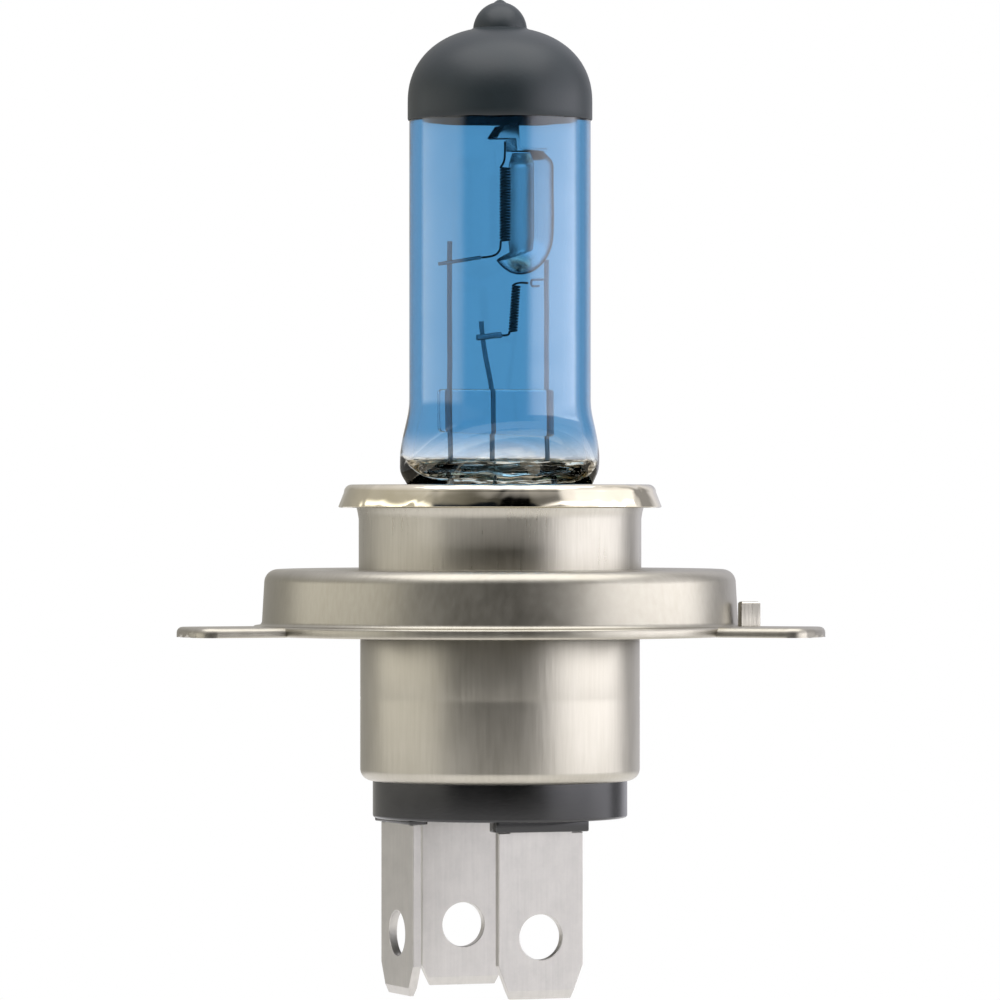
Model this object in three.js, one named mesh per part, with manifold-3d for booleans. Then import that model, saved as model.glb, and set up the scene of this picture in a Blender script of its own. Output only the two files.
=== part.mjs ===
// Two-filament headlight bulb with a three-lug cap, in millimetres, +Z towards the glass tip.
// The origin is on the bulb's axis, in the plane of the lugs' seating faces (the reference plane).
// The reference lug and the single contact tab point along -X; the press seal's flats face +Y and -Y.
import * as THREE from 'three';
import { mergeVertices } from 'three/addons/utils/BufferGeometryUtils.js';
import Module from 'manifold-3d';

const wasm = await Module();
wasm.setup();

// ---- Driving dimensions -------------------------------------------------------------------

const FIT = 0.05; // gap left between two pieces that seat on or pass through each other
const OVERRUN = 1; // how far a cutting shape runs past the face it opens
const ROUND_SEGMENTS = 40; // facets round every turned piece

// Glass
const GLASS_RADIUS = 8.2;
const GLASS_WALL = 1.2;
const DOME_HEIGHT = 6.7;
const DOME_FULLNESS = 2.22; // 2 gives an elliptical dome, more gives fuller shoulders
const DOME_HEADROOM = 1.85; // from the flag's top to where the tube turns into the dome
const PIP_RADIUS = 2.35;
const PIP_HEIGHT = 2.5;
const PIP_POINT_HEIGHT = 0.28;
const PIP_POINT_RADIUS = 0.5;
const PAINT_DEPTH = 1.55; // how far the paint reaches down the tube below the dome
const PAINT_THICKNESS = 0.1;

// Press seal, where the tube is flattened and widened round the foils
const FLARE_ABOVE_COLLAR = 7.6;
const WIDEST_ABOVE_COLLAR = 1.7;
const FLARE_BULGE = 1.25;
const PINCH_BELOW_COLLAR = 2.7;
const PINCH_LENGTH = 8;
const PINCH_SETBACK = 0.4; // how much narrower the pinch is than the tube, each side
const PINCH_THICKNESS = 3.8;
const CAVITY_ABOVE_COLLAR = 1.9;
const CAVITY_FLOOR_HALF_THICKNESS = 0.5;

// Leads inside the glass
const POST_RADIUS = 0.22;
const POST_TO_BORE = 2.2; // from an outer post's axis to the bore
const COMMON_POST_SHIFT = 0.2;
const MAIN_POST_X = -0.86;
const MAIN_POST_LEAN = 0.97;
const MAIN_POST_BOW = 0.15;
const POST_SEAL_DEPTH = 2.35; // how far the posts run into the seal
const FOIL_WIDTH = 2.2;
const FOIL_LENGTH = 7.6;
const FOIL_THICKNESS = 0.1;
const POST_TOP_GAP = 0.08; // from the common post's end to the shield
const BRIDGE_ABOVE_FLOOR = 2.9;
const BRIDGE_HEIGHT = 3.8;
const BRIDGE_THICKNESS = 2.6;
const BRIDGE_END_WALL = 0.85;
const BRIDGE_ROUND = 0.35;

// Filaments
const FILAMENT_WIRE_RADIUS = 0.1;
const MAIN_COIL_LENGTH = 4.2;
const MAIN_COIL_BOTTOM_X = 1.25;
const MAIN_COIL_TOP_X = 1.6;
const MAIN_COIL_RADIUS = 0.34;
const MAIN_COIL_TURNS = 8;
const CLAMP_ABOVE_BRIDGE = 4.75;
const CLAMP_RADIUS = 0.3;
const CLAMP_HALF_LENGTH = 1.15;
const CLAMP_OFFSET = 0.55;
const CLAMP_RISE = 0.1; // how far each end stands above or below the clamp's middle
const MAIN_POST_OVERHANG = 1.35; // from the clamp up to the post's end
const MAIN_COIL_ABOVE_CLAMP = 0.45;
const MAIN_LEG_HEIGHT = 0.35; // from the clamped end's bend up to the coil
const HOOK_ABOVE_MAIN_COIL = 0.5;
const HOOK_WIRE_RADIUS = 0.12;
const HOOK_REACH = 1.3;
const HOOK_DROP = 0.55;
const HOOK_BEND = 0.38;
const HOOK_RETURN = 0.9; // how far the hook's free end runs back
const DIPPED_COIL_LENGTH = 6.7;
const DIPPED_COIL_X = 0.5;
const DIPPED_COIL_RADIUS = 0.42;
const DIPPED_COIL_TURNS = 12;
const DIPPED_TAIL_DROP = 1.55; // from the coil's bottom to the crosswire
const DIPPED_LEG_END = 0.4; // from the upper leg's end to the bracket's top
const LEG_BEND = 0.5; // how far a filament's leg stands off before it turns up into the coil
const DIPPED_POST_OVERHANG = 1.45; // from the crosswire up to the post's end
const CROSSWIRE_RADIUS = 0.17;
const CROSSWIRE_END_X = -2.1;
const CROSSWIRE_OVERHANG = 1.1;
const CROSSWIRE_RISE = 0.6;

// Shield beside the dipped-beam filament, a cup open towards -X
const SHIELD_ABOVE_MAIN_COIL = 1;
const SHIELD_RADIUS = 3;
const SHIELD_WALL = 0.2;
const SHIELD_FLOOR_TO_COIL = 3;
const SHIELD_BOWL_HEIGHT = 3.8;
const SHIELD_ROOF_HEIGHT = 1.4;
const SHIELD_MOUTH_RADIUS = 2.1;
const SHIELD_LIP_HEIGHT = 0.4;
const SHIELD_LIP_RISE = 1.7;
const POST_TO_SHIELD_SIDE = 0.22;
const BRACKET_WIDTH = 2.6;
const BRACKET_HEIGHT = 1.3;
const BRACKET_THICKNESS = 0.25;
const FLAG_LENGTH = 1.9;
const FLAG_RISE = 1;
const FLAG_WIDTH = 1.8;
const FLAG_NOSE = 0.6;
const FLAG_TIP = 0.2;
const BRACKET_TO_COIL = 0.1;

// Collar, sleeve and pinch holder
const SHEET = 0.5; // sheet metal of the collar, sleeve, holder and base shell
const COLLAR_TOP_Z = 12.7;
const COLLAR_HEIGHT = 2.1;
const COLLAR_OVERHANG = 1.33; // from the sleeve to the outside of the collar's shoulder
const COLLAR_FLARE = 0.5;
const COLLAR_SHOULDER_RADIUS = 0.7;
const COLLAR_HOLE_GAP = 0.3;
const SLEEVE_STEP = 0.14; // how far the sleeve stands out past the base shell
const SLEEVE_BOTTOM_Z = -0.4;
const HOLDER_RIM_HEIGHT = 3;
const HOLDER_TONGUE_LENGTH = 3.6;
const HOLDER_TONGUE_WIDTH = 9;
const HOLDER_BELOW_PINCH_TOP = 3.8;

// Focus ring
const RING_RADIUS = 21.5;
const RING_HEIGHT = 5.05;
const RING_SHEET = 0.9;
const RING_CORNER_RADIUS = 1.2;
const RING_DRAFT = 0.2;
const RING_FILLET = 0.4;
const RING_NECK_DEPTH = 4;
const FLANGE_WIDTH = 0.8;
const LUG_LENGTH = 8.7; // from the ring's wall to a lug's tip
const LUG_WIDTH = 8;
const LUG_CORNER_RADIUS = 1.7;
const LUG_ANGLES = [180, 318.5, 41.5]; // degrees round +Z; the first is the reference lug
const KEY_LUG_ANGLE = 318.5;
const KEY_GAP = 0.1;
const KEY_LENGTH = 1.8;
const KEY_HEIGHT = 2.2;
const KEY_TURN = 40; // how far the bent-up strip is twisted from the lug's edge

// Base shell, insulator and contact tabs
const SHELL_RADIUS = 12.63;
const SHELL_BOTTOM_Z = -14;
const SHELL_SHOULDER_Z = -0.6;
const SHELL_NECK_LENGTH = 5.6;
const SHELL_LIP_DEPTH = 1.08;
const INSULATOR_DROP = 3.35; // how far the insulator shows below the shell
const INSULATOR_HEIGHT = 7.85;
const INSULATOR_EDGE_CHAMFER = 0.2;
const BOSS_HEIGHT = 0.9;
const BOSS_WALL = 0.4;
const BOSS_THICKNESS = 1.8;
const TAB_WIDTH = 8.1;
const TAB_THICKNESS = 0.8;
const TAB_INSET = 1.95; // from the insulator's edge to a tab's mid-plane
const TAB_REACH = 15.75; // how far the tabs show below the insulator
const TAB_TAIL = 1.5; // how far they stand out above it, inside the shell
const TAB_SHANK_WIDTH = 6; // the narrower, thinner part moulded into the insulator
const TAB_SHANK_THICKNESS = 0.6;
const TAB_HOLE_RADIUS = 2.03;
const TAB_HOLE_HEIGHT = 5.5; // from a tab's end to its hole's centre
const TAB_BEVEL_HEIGHT = 0.75;
const TAB_BEVEL_DEPTH = 0.2;
const OUTER_LEAD_RADIUS = 0.35;
const OUTER_LEAD_DROP = 3.5; // from the pinch to where a lead spreads towards its tab
const OUTER_LEAD_STRAIGHT = 1.75; // the straight run along the tab's tail

// ---- Values worked out from them -------------------------------------------------------------

// Radii and places across the axis
const BORE_RADIUS = GLASS_RADIUS - GLASS_WALL;
const PINCH_HALF_WIDTH = GLASS_RADIUS - PINCH_SETBACK;
const DIPPED_POST_X = POST_TO_BORE - BORE_RADIUS;
const COMMON_POST_X = BORE_RADIUS - POST_TO_BORE - COMMON_POST_SHIFT;
const MAIN_POST_TOP_X = MAIN_POST_X - MAIN_POST_LEAN;
const SHIELD_X = COMMON_POST_X + POST_RADIUS + POST_TO_SHIELD_SIDE - SHIELD_RADIUS;
const SLEEVE_RADIUS = SHELL_RADIUS + SLEEVE_STEP;
const NECK_RADIUS = SLEEVE_RADIUS - SHEET - FIT;
const LUG_TIP_RADIUS = RING_RADIUS + LUG_LENGTH;
const INSULATOR_RADIUS = SHELL_RADIUS - SHELL_LIP_DEPTH - FIT;
const TAB_RADIUS = INSULATOR_RADIUS - TAB_INSET;
const CROSSWIRE_Y = -(POST_RADIUS + CROSSWIRE_RADIUS + FIT);

// Heights of the seal, then of the parts stacked up inside the glass
const FLARE_TOP_Z = COLLAR_TOP_Z + FLARE_ABOVE_COLLAR;
const FLARE_WIDEST_Z = COLLAR_TOP_Z + WIDEST_ABOVE_COLLAR;
const PINCH_TOP_Z = COLLAR_TOP_Z - PINCH_BELOW_COLLAR;
const PINCH_BOTTOM_Z = PINCH_TOP_Z - PINCH_LENGTH;
const CAVITY_FLOOR_Z = COLLAR_TOP_Z + CAVITY_ABOVE_COLLAR;
const POST_BOTTOM_Z = CAVITY_FLOOR_Z - POST_SEAL_DEPTH;
const FOIL_TOP_Z = POST_BOTTOM_Z - FIT;
const FOIL_BOTTOM_Z = FOIL_TOP_Z - FOIL_LENGTH;
const HOLDER_DISC_Z = PINCH_TOP_Z - HOLDER_BELOW_PINCH_TOP;
const BRIDGE_BOTTOM_Z = CAVITY_FLOOR_Z + BRIDGE_ABOVE_FLOOR;
const BRIDGE_TOP_Z = BRIDGE_BOTTOM_Z + BRIDGE_HEIGHT;
const CLAMP_Z = BRIDGE_TOP_Z + CLAMP_ABOVE_BRIDGE;
const MAIN_POST_TOP_Z = CLAMP_Z + MAIN_POST_OVERHANG;
const MAIN_COIL_BOTTOM_Z = CLAMP_Z + MAIN_COIL_ABOVE_CLAMP;
const MAIN_COIL_TOP_Z = MAIN_COIL_BOTTOM_Z + MAIN_COIL_LENGTH;
const HOOK_Z = MAIN_COIL_TOP_Z + HOOK_ABOVE_MAIN_COIL;
const SHIELD_BOTTOM_Z = MAIN_COIL_TOP_Z + SHIELD_ABOVE_MAIN_COIL;
const DIPPED_COIL_BOTTOM_Z = SHIELD_BOTTOM_Z + SHIELD_FLOOR_TO_COIL;
const DIPPED_COIL_TOP_Z = DIPPED_COIL_BOTTOM_Z + DIPPED_COIL_LENGTH;
const DIPPED_TAIL_Z = DIPPED_COIL_BOTTOM_Z - DIPPED_TAIL_DROP;
const DIPPED_POST_TOP_Z = DIPPED_TAIL_Z + DIPPED_POST_OVERHANG;
const SHIELD_TOP_Z = DIPPED_COIL_TOP_Z + SHIELD_ROOF_HEIGHT;
const BRACKET_TOP_Z = SHIELD_TOP_Z + BRACKET_HEIGHT;
const DOME_BASE_Z = BRACKET_TOP_Z + FLAG_RISE + BRACKET_THICKNESS + DOME_HEADROOM;
const PAINT_EDGE_Z = DOME_BASE_Z - PAINT_DEPTH;

// Heights of the cap's lower half
const COLLAR_SKIRT_Z = COLLAR_TOP_Z - COLLAR_HEIGHT;
const INSULATOR_BOTTOM_Z = SHELL_BOTTOM_Z - INSULATOR_DROP;
const INSULATOR_TOP_Z = INSULATOR_BOTTOM_Z + INSULATOR_HEIGHT;
const TAB_END_Z = INSULATOR_BOTTOM_Z - TAB_REACH;
const TAB_TOP_Z = INSULATOR_TOP_Z + TAB_TAIL;
const TAB_HOLE_Z = TAB_END_Z + TAB_HOLE_HEIGHT;
const TAB_SHOULDER_Z = INSULATOR_BOTTOM_Z - BOSS_HEIGHT - FIT;

// ---- Shape helpers -----------------------------------------------------------------------------

const degrees = (angle) => THREE.MathUtils.degToRad(angle);

// Joins equal points and drops triangles that have closed up.
function weld(geometry) {
  const loose = geometry.index ? geometry.toNonIndexed() : geometry.clone();
  loose.deleteAttribute('normal');
  loose.deleteAttribute('uv');
  const joined = mergeVertices(loose, 1e-4);
  const corners = joined.index.array;
  const kept = [];
  for (let i = 0; i < corners.length; i += 3) {
    const triangle = [corners[i], corners[i + 1], corners[i + 2]];
    if (new Set(triangle).size === 3) kept.push(...triangle);
  }
  joined.setIndex(kept);
  joined.computeVertexNormals();
  return joined;
}

function toSolid(geometry) {
  const closed = weld(geometry);
  return new wasm.Manifold(new wasm.Mesh({
    numProp: 3,
    vertProperties: Float32Array.from(closed.attributes.position.array),
    triVerts: Uint32Array.from(closed.index.array),
  }));
}

function toGeometry(solid) {
  const { vertProperties, triVerts } = solid.getMesh();
  const geometry = new THREE.BufferGeometry();
  geometry.setAttribute('position', new THREE.BufferAttribute(vertProperties, 3));
  geometry.setIndex(new THREE.BufferAttribute(triVerts, 1));
  geometry.computeVertexNormals();
  return geometry;
}

// Joins the geometries in one list and cuts away those in the other.
function carve(joined, cuts = []) {
  let solid = joined.map(toSolid).reduce((whole, piece) => whole.add(piece));
  for (const cut of cuts) solid = solid.subtract(toSolid(cut));
  return toGeometry(solid);
}

// Turns a profile of [radius, z] points round the Z axis, at x.
function turned(profile, { closed = false, x = 0 } = {}) {
  const points = profile.map(([radius, z]) => new THREE.Vector2(radius, z));
  if (closed) points.push(points[0].clone());
  const geometry = new THREE.LatheGeometry(points, ROUND_SEGMENTS);
  return weld(geometry.rotateX(Math.PI / 2).translate(x, 0, 0));
}

// Points on an elliptical arc, between two angles in degrees.
function arc(centreRadius, centreZ, radius, height, from, to, steps) {
  const points = [];
  for (let i = 0; i <= steps; i += 1) {
    const angle = degrees(from + ((to - from) * i) / steps);
    points.push([centreRadius + radius * Math.cos(angle), centreZ + height * Math.sin(angle)]);
  }
  return points;
}

// A box between two corners.
function block([x0, y0, z0], [x1, y1, z1]) {
  const box = new THREE.BoxGeometry(x1 - x0, y1 - y0, z1 - z0);
  return box.translate((x0 + x1) / 2, (y0 + y1) / 2, (z0 + z1) / 2);
}

// A flat outline of [x, z] points, extruded along Y and centred on y.
function plate(outline, thickness, y = 0) {
  const shape = new THREE.Shape(outline.map(([x, z]) => new THREE.Vector2(x, z)));
  const geometry = new THREE.ExtrudeGeometry(shape, { depth: thickness, bevelEnabled: false });
  return geometry.rotateX(Math.PI / 2).translate(0, y + thickness / 2, 0);
}

// A round wire through [x, y, z] points.
function wire(route, radius, { sides = 8, steps = route.length * 3 } = {}) {
  const points = route.map(([x, y, z]) => new THREE.Vector3(x, y, z));
  const path = new THREE.CatmullRomCurve3(points, false, 'centripetal');
  const section = new THREE.Shape();
  for (let i = 0; i < sides; i += 1) {
    const angle = (2 * Math.PI * i) / sides;
    const corner = [radius * Math.cos(angle), radius * Math.sin(angle)];
    if (i === 0) section.moveTo(...corner);
    else section.lineTo(...corner);
  }
  return new THREE.ExtrudeGeometry(section, { steps, extrudePath: path, bevelEnabled: false });
}

function straightWire(from, to, radius) {
  return wire([from, to], radius, { steps: 1 });
}

// A straight run of coil with its two tails, each a list of points.
function coil({ bottom, top, radius, turns, wireRadius, firstTail, lastTail }) {
  const stepsPerTurn = 8;
  const count = turns * stepsPerTurn;
  const route = [...firstTail];
  for (let i = 0; i <= count; i += 1) {
    const share = i / count;
    const angle = 2 * Math.PI * (i / stepsPerTurn) + Math.PI;
    const x = THREE.MathUtils.lerp(bottom[0], top[0], share) + radius * Math.cos(angle);
    route.push([x, radius * Math.sin(angle), THREE.MathUtils.lerp(bottom[1], top[1], share)]);
  }
  route.push(...lastTail);
  return wire(route, wireRadius, { sides: 5, steps: route.length });
}

const bulb = new THREE.Group();

// Adds one piece of the bulb as its own mesh; the finish is [colour, roughness, metalness].
function addPiece(name, geometry, [color, roughness, metalness]) {
  const material = new THREE.MeshStandardMaterial({ color, roughness, metalness });
  const mesh = new THREE.Mesh(weld(geometry), material);
  mesh.name = name;
  bulb.add(mesh);
}

const BLUE_GLASS = ['#4c8fc0', 0.05, 0];
const BLACK_PAINT = ['#3f4748', 0.45, 0];
const LEAD_METAL = ['#5f6a72', 0.4, 1];
const TUNGSTEN = ['#3b3f42', 0.5, 1];
const MOLYBDENUM = ['#8d949a', 0.3, 1];
const SATIN_NICKEL = ['#b5ae9c', 0.4, 1];
const BRIGHT_NICKEL = ['#c9bfa6', 0.2, 1];
const BLACK_PLASTIC = ['#2e2d2a', 0.5, 0];
const TINNED_BRASS = ['#c8c4bf', 0.45, 1];

// ---- Glass -----------------------------------------------------------------------------------------

// The outside of the dome and the exhaust pip, moved outwards by an offset, from a height up to the axis.
function domeOutline(offset, fromZ) {
  const radius = GLASS_RADIUS + offset;
  const height = DOME_HEIGHT + offset;
  const pip = PIP_RADIUS + offset;
  const meeting = THREE.MathUtils.radToDeg(Math.acos((pip / radius) ** (DOME_FULLNESS / 2)));
  const dome = arc(0, 0, radius, height, 0, meeting, 6).map(([across, up]) => [
    radius * (across / radius) ** (2 / DOME_FULLNESS),
    DOME_BASE_Z + height * (up / height) ** (2 / DOME_FULLNESS),
  ]);
  const pipBase = dome[dome.length - 1][1];
  const point = PIP_POINT_RADIUS + offset;
  const pointAngle = THREE.MathUtils.radToDeg(Math.acos(point / pip));
  return [
    [radius, fromZ],
    ...dome,
    ...arc(0, pipBase, pip, PIP_HEIGHT, pointAngle / 4, pointAngle, 3),
    [0, pipBase + PIP_HEIGHT + PIP_POINT_HEIGHT],
  ];
}

// Half the width of the flattened glass at a height, along X.
function pressedHalfWidth(z) {
  const widest = GLASS_RADIUS + FLARE_BULGE;
  if (z >= FLARE_WIDEST_Z) {
    const rise = 1 - THREE.MathUtils.smoothstep(z, FLARE_WIDEST_Z, FLARE_TOP_Z);
    return GLASS_RADIUS + FLARE_BULGE * rise;
  }
  const fall = THREE.MathUtils.smoothstep(z, PINCH_TOP_Z, FLARE_WIDEST_Z);
  return THREE.MathUtils.lerp(PINCH_HALF_WIDTH, widest, fall);
}

// Flattens a turned tube below the flare: its section goes from round to a thin oval.
function pressFlat(geometry, tubeRadius, wall, floorZ, floorHalfThickness) {
  const position = geometry.attributes.position;
  for (let i = 0; i < position.count; i += 1) {
    const z = position.getZ(i);
    const widen = (pressedHalfWidth(z) - wall) / tubeRadius;
    const open = THREE.MathUtils.smoothstep(z, floorZ, FLARE_TOP_Z);
    const flatten = THREE.MathUtils.lerp(floorHalfThickness / tubeRadius, 1, open);
    position.setXY(i, position.getX(i) * widen, position.getY(i) * flatten);
  }
  return geometry;
}

// Evenly spaced heights up a tube wall of one radius.
function wallPoints(radius, fromZ, toZ, steps) {
  const points = [];
  for (let i = 0; i <= steps; i += 1) points.push([radius, fromZ + ((toZ - fromZ) * i) / steps]);
  return points;
}

function glassEnvelope() {
  const outside = turned([
    [0, PINCH_TOP_Z],
    ...wallPoints(GLASS_RADIUS, PINCH_TOP_Z, FLARE_TOP_Z, 8),
    ...domeOutline(0, PAINT_EDGE_Z),
  ]);
  const cavity = turned([
    [0, CAVITY_FLOOR_Z],
    ...wallPoints(BORE_RADIUS, CAVITY_FLOOR_Z, FLARE_TOP_Z, 6),
    ...arc(0, DOME_BASE_Z, BORE_RADIUS, DOME_HEIGHT - GLASS_WALL, 0, 80, 5),
    [0, DOME_BASE_Z + DOME_HEIGHT - GLASS_WALL],
  ]);
  pressFlat(outside, GLASS_RADIUS, 0, PINCH_TOP_Z, PINCH_THICKNESS / 2);
  pressFlat(cavity, BORE_RADIUS, GLASS_WALL, CAVITY_FLOOR_Z, CAVITY_FLOOR_HALF_THICKNESS);
  const pinch = block(
    [-PINCH_HALF_WIDTH, -PINCH_THICKNESS / 2, PINCH_BOTTOM_Z],
    [PINCH_HALF_WIDTH, PINCH_THICKNESS / 2, PINCH_TOP_Z + OVERRUN],
  );
  // Each lead's slot through the pinch, wide enough for its foil and thick enough for its post.
  const slots = [DIPPED_POST_X, MAIN_POST_X, COMMON_POST_X].map((x) => block(
    [x - FOIL_WIDTH / 2 - FIT, -OUTER_LEAD_RADIUS - FIT, PINCH_BOTTOM_Z - OVERRUN],
    [x + FOIL_WIDTH / 2 + FIT, OUTER_LEAD_RADIUS + FIT, CAVITY_FLOOR_Z + OVERRUN],
  ));
  return carve([outside, pinch], [cavity, ...slots]);
}

// The paint is a thin cup over the dome, open at its lower edge.
function tipPaint() {
  const inner = domeOutline(FIT, PAINT_EDGE_Z).reverse();
  return turned([...inner, ...domeOutline(FIT + PAINT_THICKNESS, PAINT_EDGE_Z)]);
}

addPiece('glass_envelope', glassEnvelope(), BLUE_GLASS);
addPiece('black_tip_coating', tipPaint(), BLACK_PAINT);

// ---- Leads through the glass -------------------------------------------------------------------------

// The height of the shield's underside where the common post meets it.
function shieldUndersideZ() {
  const reach = (COMMON_POST_X - POST_RADIUS - SHIELD_X) / SHIELD_RADIUS;
  const sag = SHIELD_BOWL_HEIGHT * (1 - Math.sqrt(1 - reach ** 2));
  return SHIELD_BOTTOM_Z + sag;
}

addPiece('dipped_beam_post', straightWire(
  [DIPPED_POST_X, 0, POST_BOTTOM_Z],
  [DIPPED_POST_X, 0, DIPPED_POST_TOP_Z],
  POST_RADIUS,
), LEAD_METAL);
addPiece('main_beam_post', wire([
  [MAIN_POST_X, 0, POST_BOTTOM_Z],
  [MAIN_POST_X, 0, BRIDGE_BOTTOM_Z],
  [MAIN_POST_X, 0, BRIDGE_TOP_Z],
  [(MAIN_POST_X + MAIN_POST_TOP_X) / 2 - MAIN_POST_BOW, 0, (BRIDGE_TOP_Z + MAIN_POST_TOP_Z) / 2],
  [MAIN_POST_TOP_X, 0, MAIN_POST_TOP_Z],
], POST_RADIUS, { steps: 12 }), LEAD_METAL);
addPiece('common_post', straightWire(
  [COMMON_POST_X, 0, POST_BOTTOM_Z],
  [COMMON_POST_X, 0, shieldUndersideZ() - POST_TOP_GAP],
  POST_RADIUS,
), LEAD_METAL);

// The bridge bar that ties the three posts together, with a bore for each.
function quartzBridge() {
  const left = DIPPED_POST_X - POST_RADIUS - BRIDGE_END_WALL;
  const right = COMMON_POST_X + POST_RADIUS + BRIDGE_END_WALL / 2;
  const corner = BRIDGE_THICKNESS / 2;
  const length = right - left;
  const shape = new THREE.Shape();
  shape.absarc(corner, 0, corner, Math.PI / 2, (3 * Math.PI) / 2, false);
  shape.absarc(length - corner, 0, corner, -Math.PI / 2, Math.PI / 2, false);
  const round = BRIDGE_ROUND;
  const bar = new THREE.ExtrudeGeometry(shape, {
    depth: BRIDGE_HEIGHT - 2 * round,
    bevelThickness: round,
    bevelSize: round,
    bevelOffset: -round,
    bevelSegments: 2,
    curveSegments: 6,
  });
  bar.translate(left, 0, BRIDGE_BOTTOM_Z + round);
  const bores = [DIPPED_POST_X, MAIN_POST_X, COMMON_POST_X].map((x) => straightWire(
    [x, 0, BRIDGE_BOTTOM_Z - OVERRUN],
    [x, 0, BRIDGE_TOP_Z + OVERRUN],
    POST_RADIUS + 2 * FIT,
  ));
  return carve([bar], bores);
}

addPiece('quartz_bridge', quartzBridge(), ['#bcd3e6', 0.05, 0]);

for (const [beam, x] of [['dipped', DIPPED_POST_X], ['main', MAIN_POST_X], ['common', COMMON_POST_X]]) {
  addPiece(`molybdenum_foil_${beam}`, block(
    [x - FOIL_WIDTH / 2, -FOIL_THICKNESS / 2, FOIL_BOTTOM_Z],
    [x + FOIL_WIDTH / 2, FOIL_THICKNESS / 2, FOIL_TOP_Z],
  ), MOLYBDENUM);
}

// ---- Filaments and what holds them -----------------------------------------------------------------

addPiece('dipped_filament_crosswire', straightWire(
  [DIPPED_POST_X - CROSSWIRE_OVERHANG, CROSSWIRE_Y, DIPPED_TAIL_Z - CROSSWIRE_RISE],
  [CROSSWIRE_END_X, CROSSWIRE_Y, DIPPED_TAIL_Z],
  CROSSWIRE_RADIUS,
), LEAD_METAL);

const bracketX = DIPPED_COIL_X + DIPPED_COIL_RADIUS + FILAMENT_WIRE_RADIUS + BRACKET_TO_COIL;
addPiece('dipped_beam_filament', coil({
  bottom: [DIPPED_COIL_X, DIPPED_COIL_BOTTOM_Z],
  top: [DIPPED_COIL_X, DIPPED_COIL_TOP_Z],
  radius: DIPPED_COIL_RADIUS,
  turns: DIPPED_COIL_TURNS,
  wireRadius: FILAMENT_WIRE_RADIUS,
  firstTail: [
    [CROSSWIRE_END_X + CROSSWIRE_RADIUS + FIT, CROSSWIRE_Y, DIPPED_TAIL_Z],
    [DIPPED_COIL_X - DIPPED_COIL_RADIUS - LEG_BEND, CROSSWIRE_Y / 4, DIPPED_TAIL_Z + FILAMENT_WIRE_RADIUS],
    [DIPPED_COIL_X - DIPPED_COIL_RADIUS, 0, DIPPED_COIL_BOTTOM_Z - DIPPED_TAIL_DROP / 2],
  ],
  lastTail: [
    [DIPPED_COIL_X, 0, (DIPPED_COIL_TOP_Z + SHIELD_TOP_Z) / 2],
    [DIPPED_COIL_X, 0, BRACKET_TOP_Z - DIPPED_LEG_END],
  ],
}), TUNGSTEN);

// A cup on its own upright axis, cut open above a rising lip.
function beamShield() {
  const bowlTop = SHIELD_BOTTOM_Z + SHIELD_BOWL_HEIGHT;
  const mouth = SHIELD_MOUTH_RADIUS;
  const outside = turned([
    ...arc(0, bowlTop, SHIELD_RADIUS, SHIELD_BOWL_HEIGHT, -90, 0, 6),
    [SHIELD_RADIUS, DIPPED_COIL_TOP_Z],
    [mouth, SHIELD_TOP_Z],
    [0, SHIELD_TOP_Z],
  ], { x: SHIELD_X });
  const hollow = turned([
    ...arc(0, bowlTop, SHIELD_RADIUS - SHIELD_WALL, SHIELD_BOWL_HEIGHT - SHIELD_WALL, -90, 0, 6),
    [SHIELD_RADIUS - SHIELD_WALL, DIPPED_COIL_TOP_Z],
    [mouth - SHIELD_WALL, SHIELD_TOP_Z + FIT],
    [0, SHIELD_TOP_Z + FIT],
  ], { x: SHIELD_X });
  const reach = SHIELD_RADIUS + OVERRUN;
  const opening = plate([
    [SHIELD_X - reach, SHIELD_BOTTOM_Z + SHIELD_LIP_HEIGHT],
    [SHIELD_X, SHIELD_BOTTOM_Z + SHIELD_LIP_HEIGHT + SHIELD_LIP_RISE],
    [SHIELD_X, SHIELD_TOP_Z + OVERRUN],
    [SHIELD_X - reach, SHIELD_TOP_Z + OVERRUN],
  ], 2 * reach);
  return carve([outside], [hollow, opening]);
}

addPiece('dipped_beam_shield', beamShield(), MOLYBDENUM);

// A strip welded across the shield's mouth, with a flag bent over the filament's upper leg.
function topBracket() {
  const stripBottom = SHIELD_TOP_Z + FIT;
  const strip = block(
    [bracketX, -BRACKET_WIDTH / 2, stripBottom],
    [bracketX + BRACKET_THICKNESS, BRACKET_WIDTH / 2, BRACKET_TOP_Z],
  );
  const foot = block(
    [bracketX, -BRACKET_WIDTH / 2, stripBottom],
    [SHIELD_X + SHIELD_MOUTH_RADIUS, BRACKET_WIDTH / 2, stripBottom + BRACKET_THICKNESS],
  );
  const flagLeft = bracketX - FLAG_LENGTH;
  const flag = plate([
    [bracketX + BRACKET_THICKNESS, BRACKET_TOP_Z],
    [bracketX + BRACKET_THICKNESS, BRACKET_TOP_Z + FLAG_RISE + BRACKET_THICKNESS],
    [flagLeft + FLAG_NOSE, BRACKET_TOP_Z + FLAG_RISE],
    [flagLeft, BRACKET_TOP_Z - FLAG_TIP / 2],
    [flagLeft + FLAG_TIP, BRACKET_TOP_Z - FLAG_TIP],
    [bracketX, BRACKET_TOP_Z - FLAG_TIP / 2],
  ], FLAG_WIDTH);
  return carve([strip, foot, flag]);
}

addPiece('dipped_filament_bracket', topBracket(), MOLYBDENUM);

const clampY = -(POST_RADIUS + CLAMP_RADIUS + FIT);
const clampX = MAIN_POST_TOP_X + CLAMP_OFFSET;
addPiece('main_filament_clamp', straightWire(
  [clampX - CLAMP_HALF_LENGTH, clampY, CLAMP_Z - CLAMP_RISE],
  [clampX + CLAMP_HALF_LENGTH, clampY, CLAMP_Z + CLAMP_RISE],
  CLAMP_RADIUS,
), LEAD_METAL);

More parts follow.
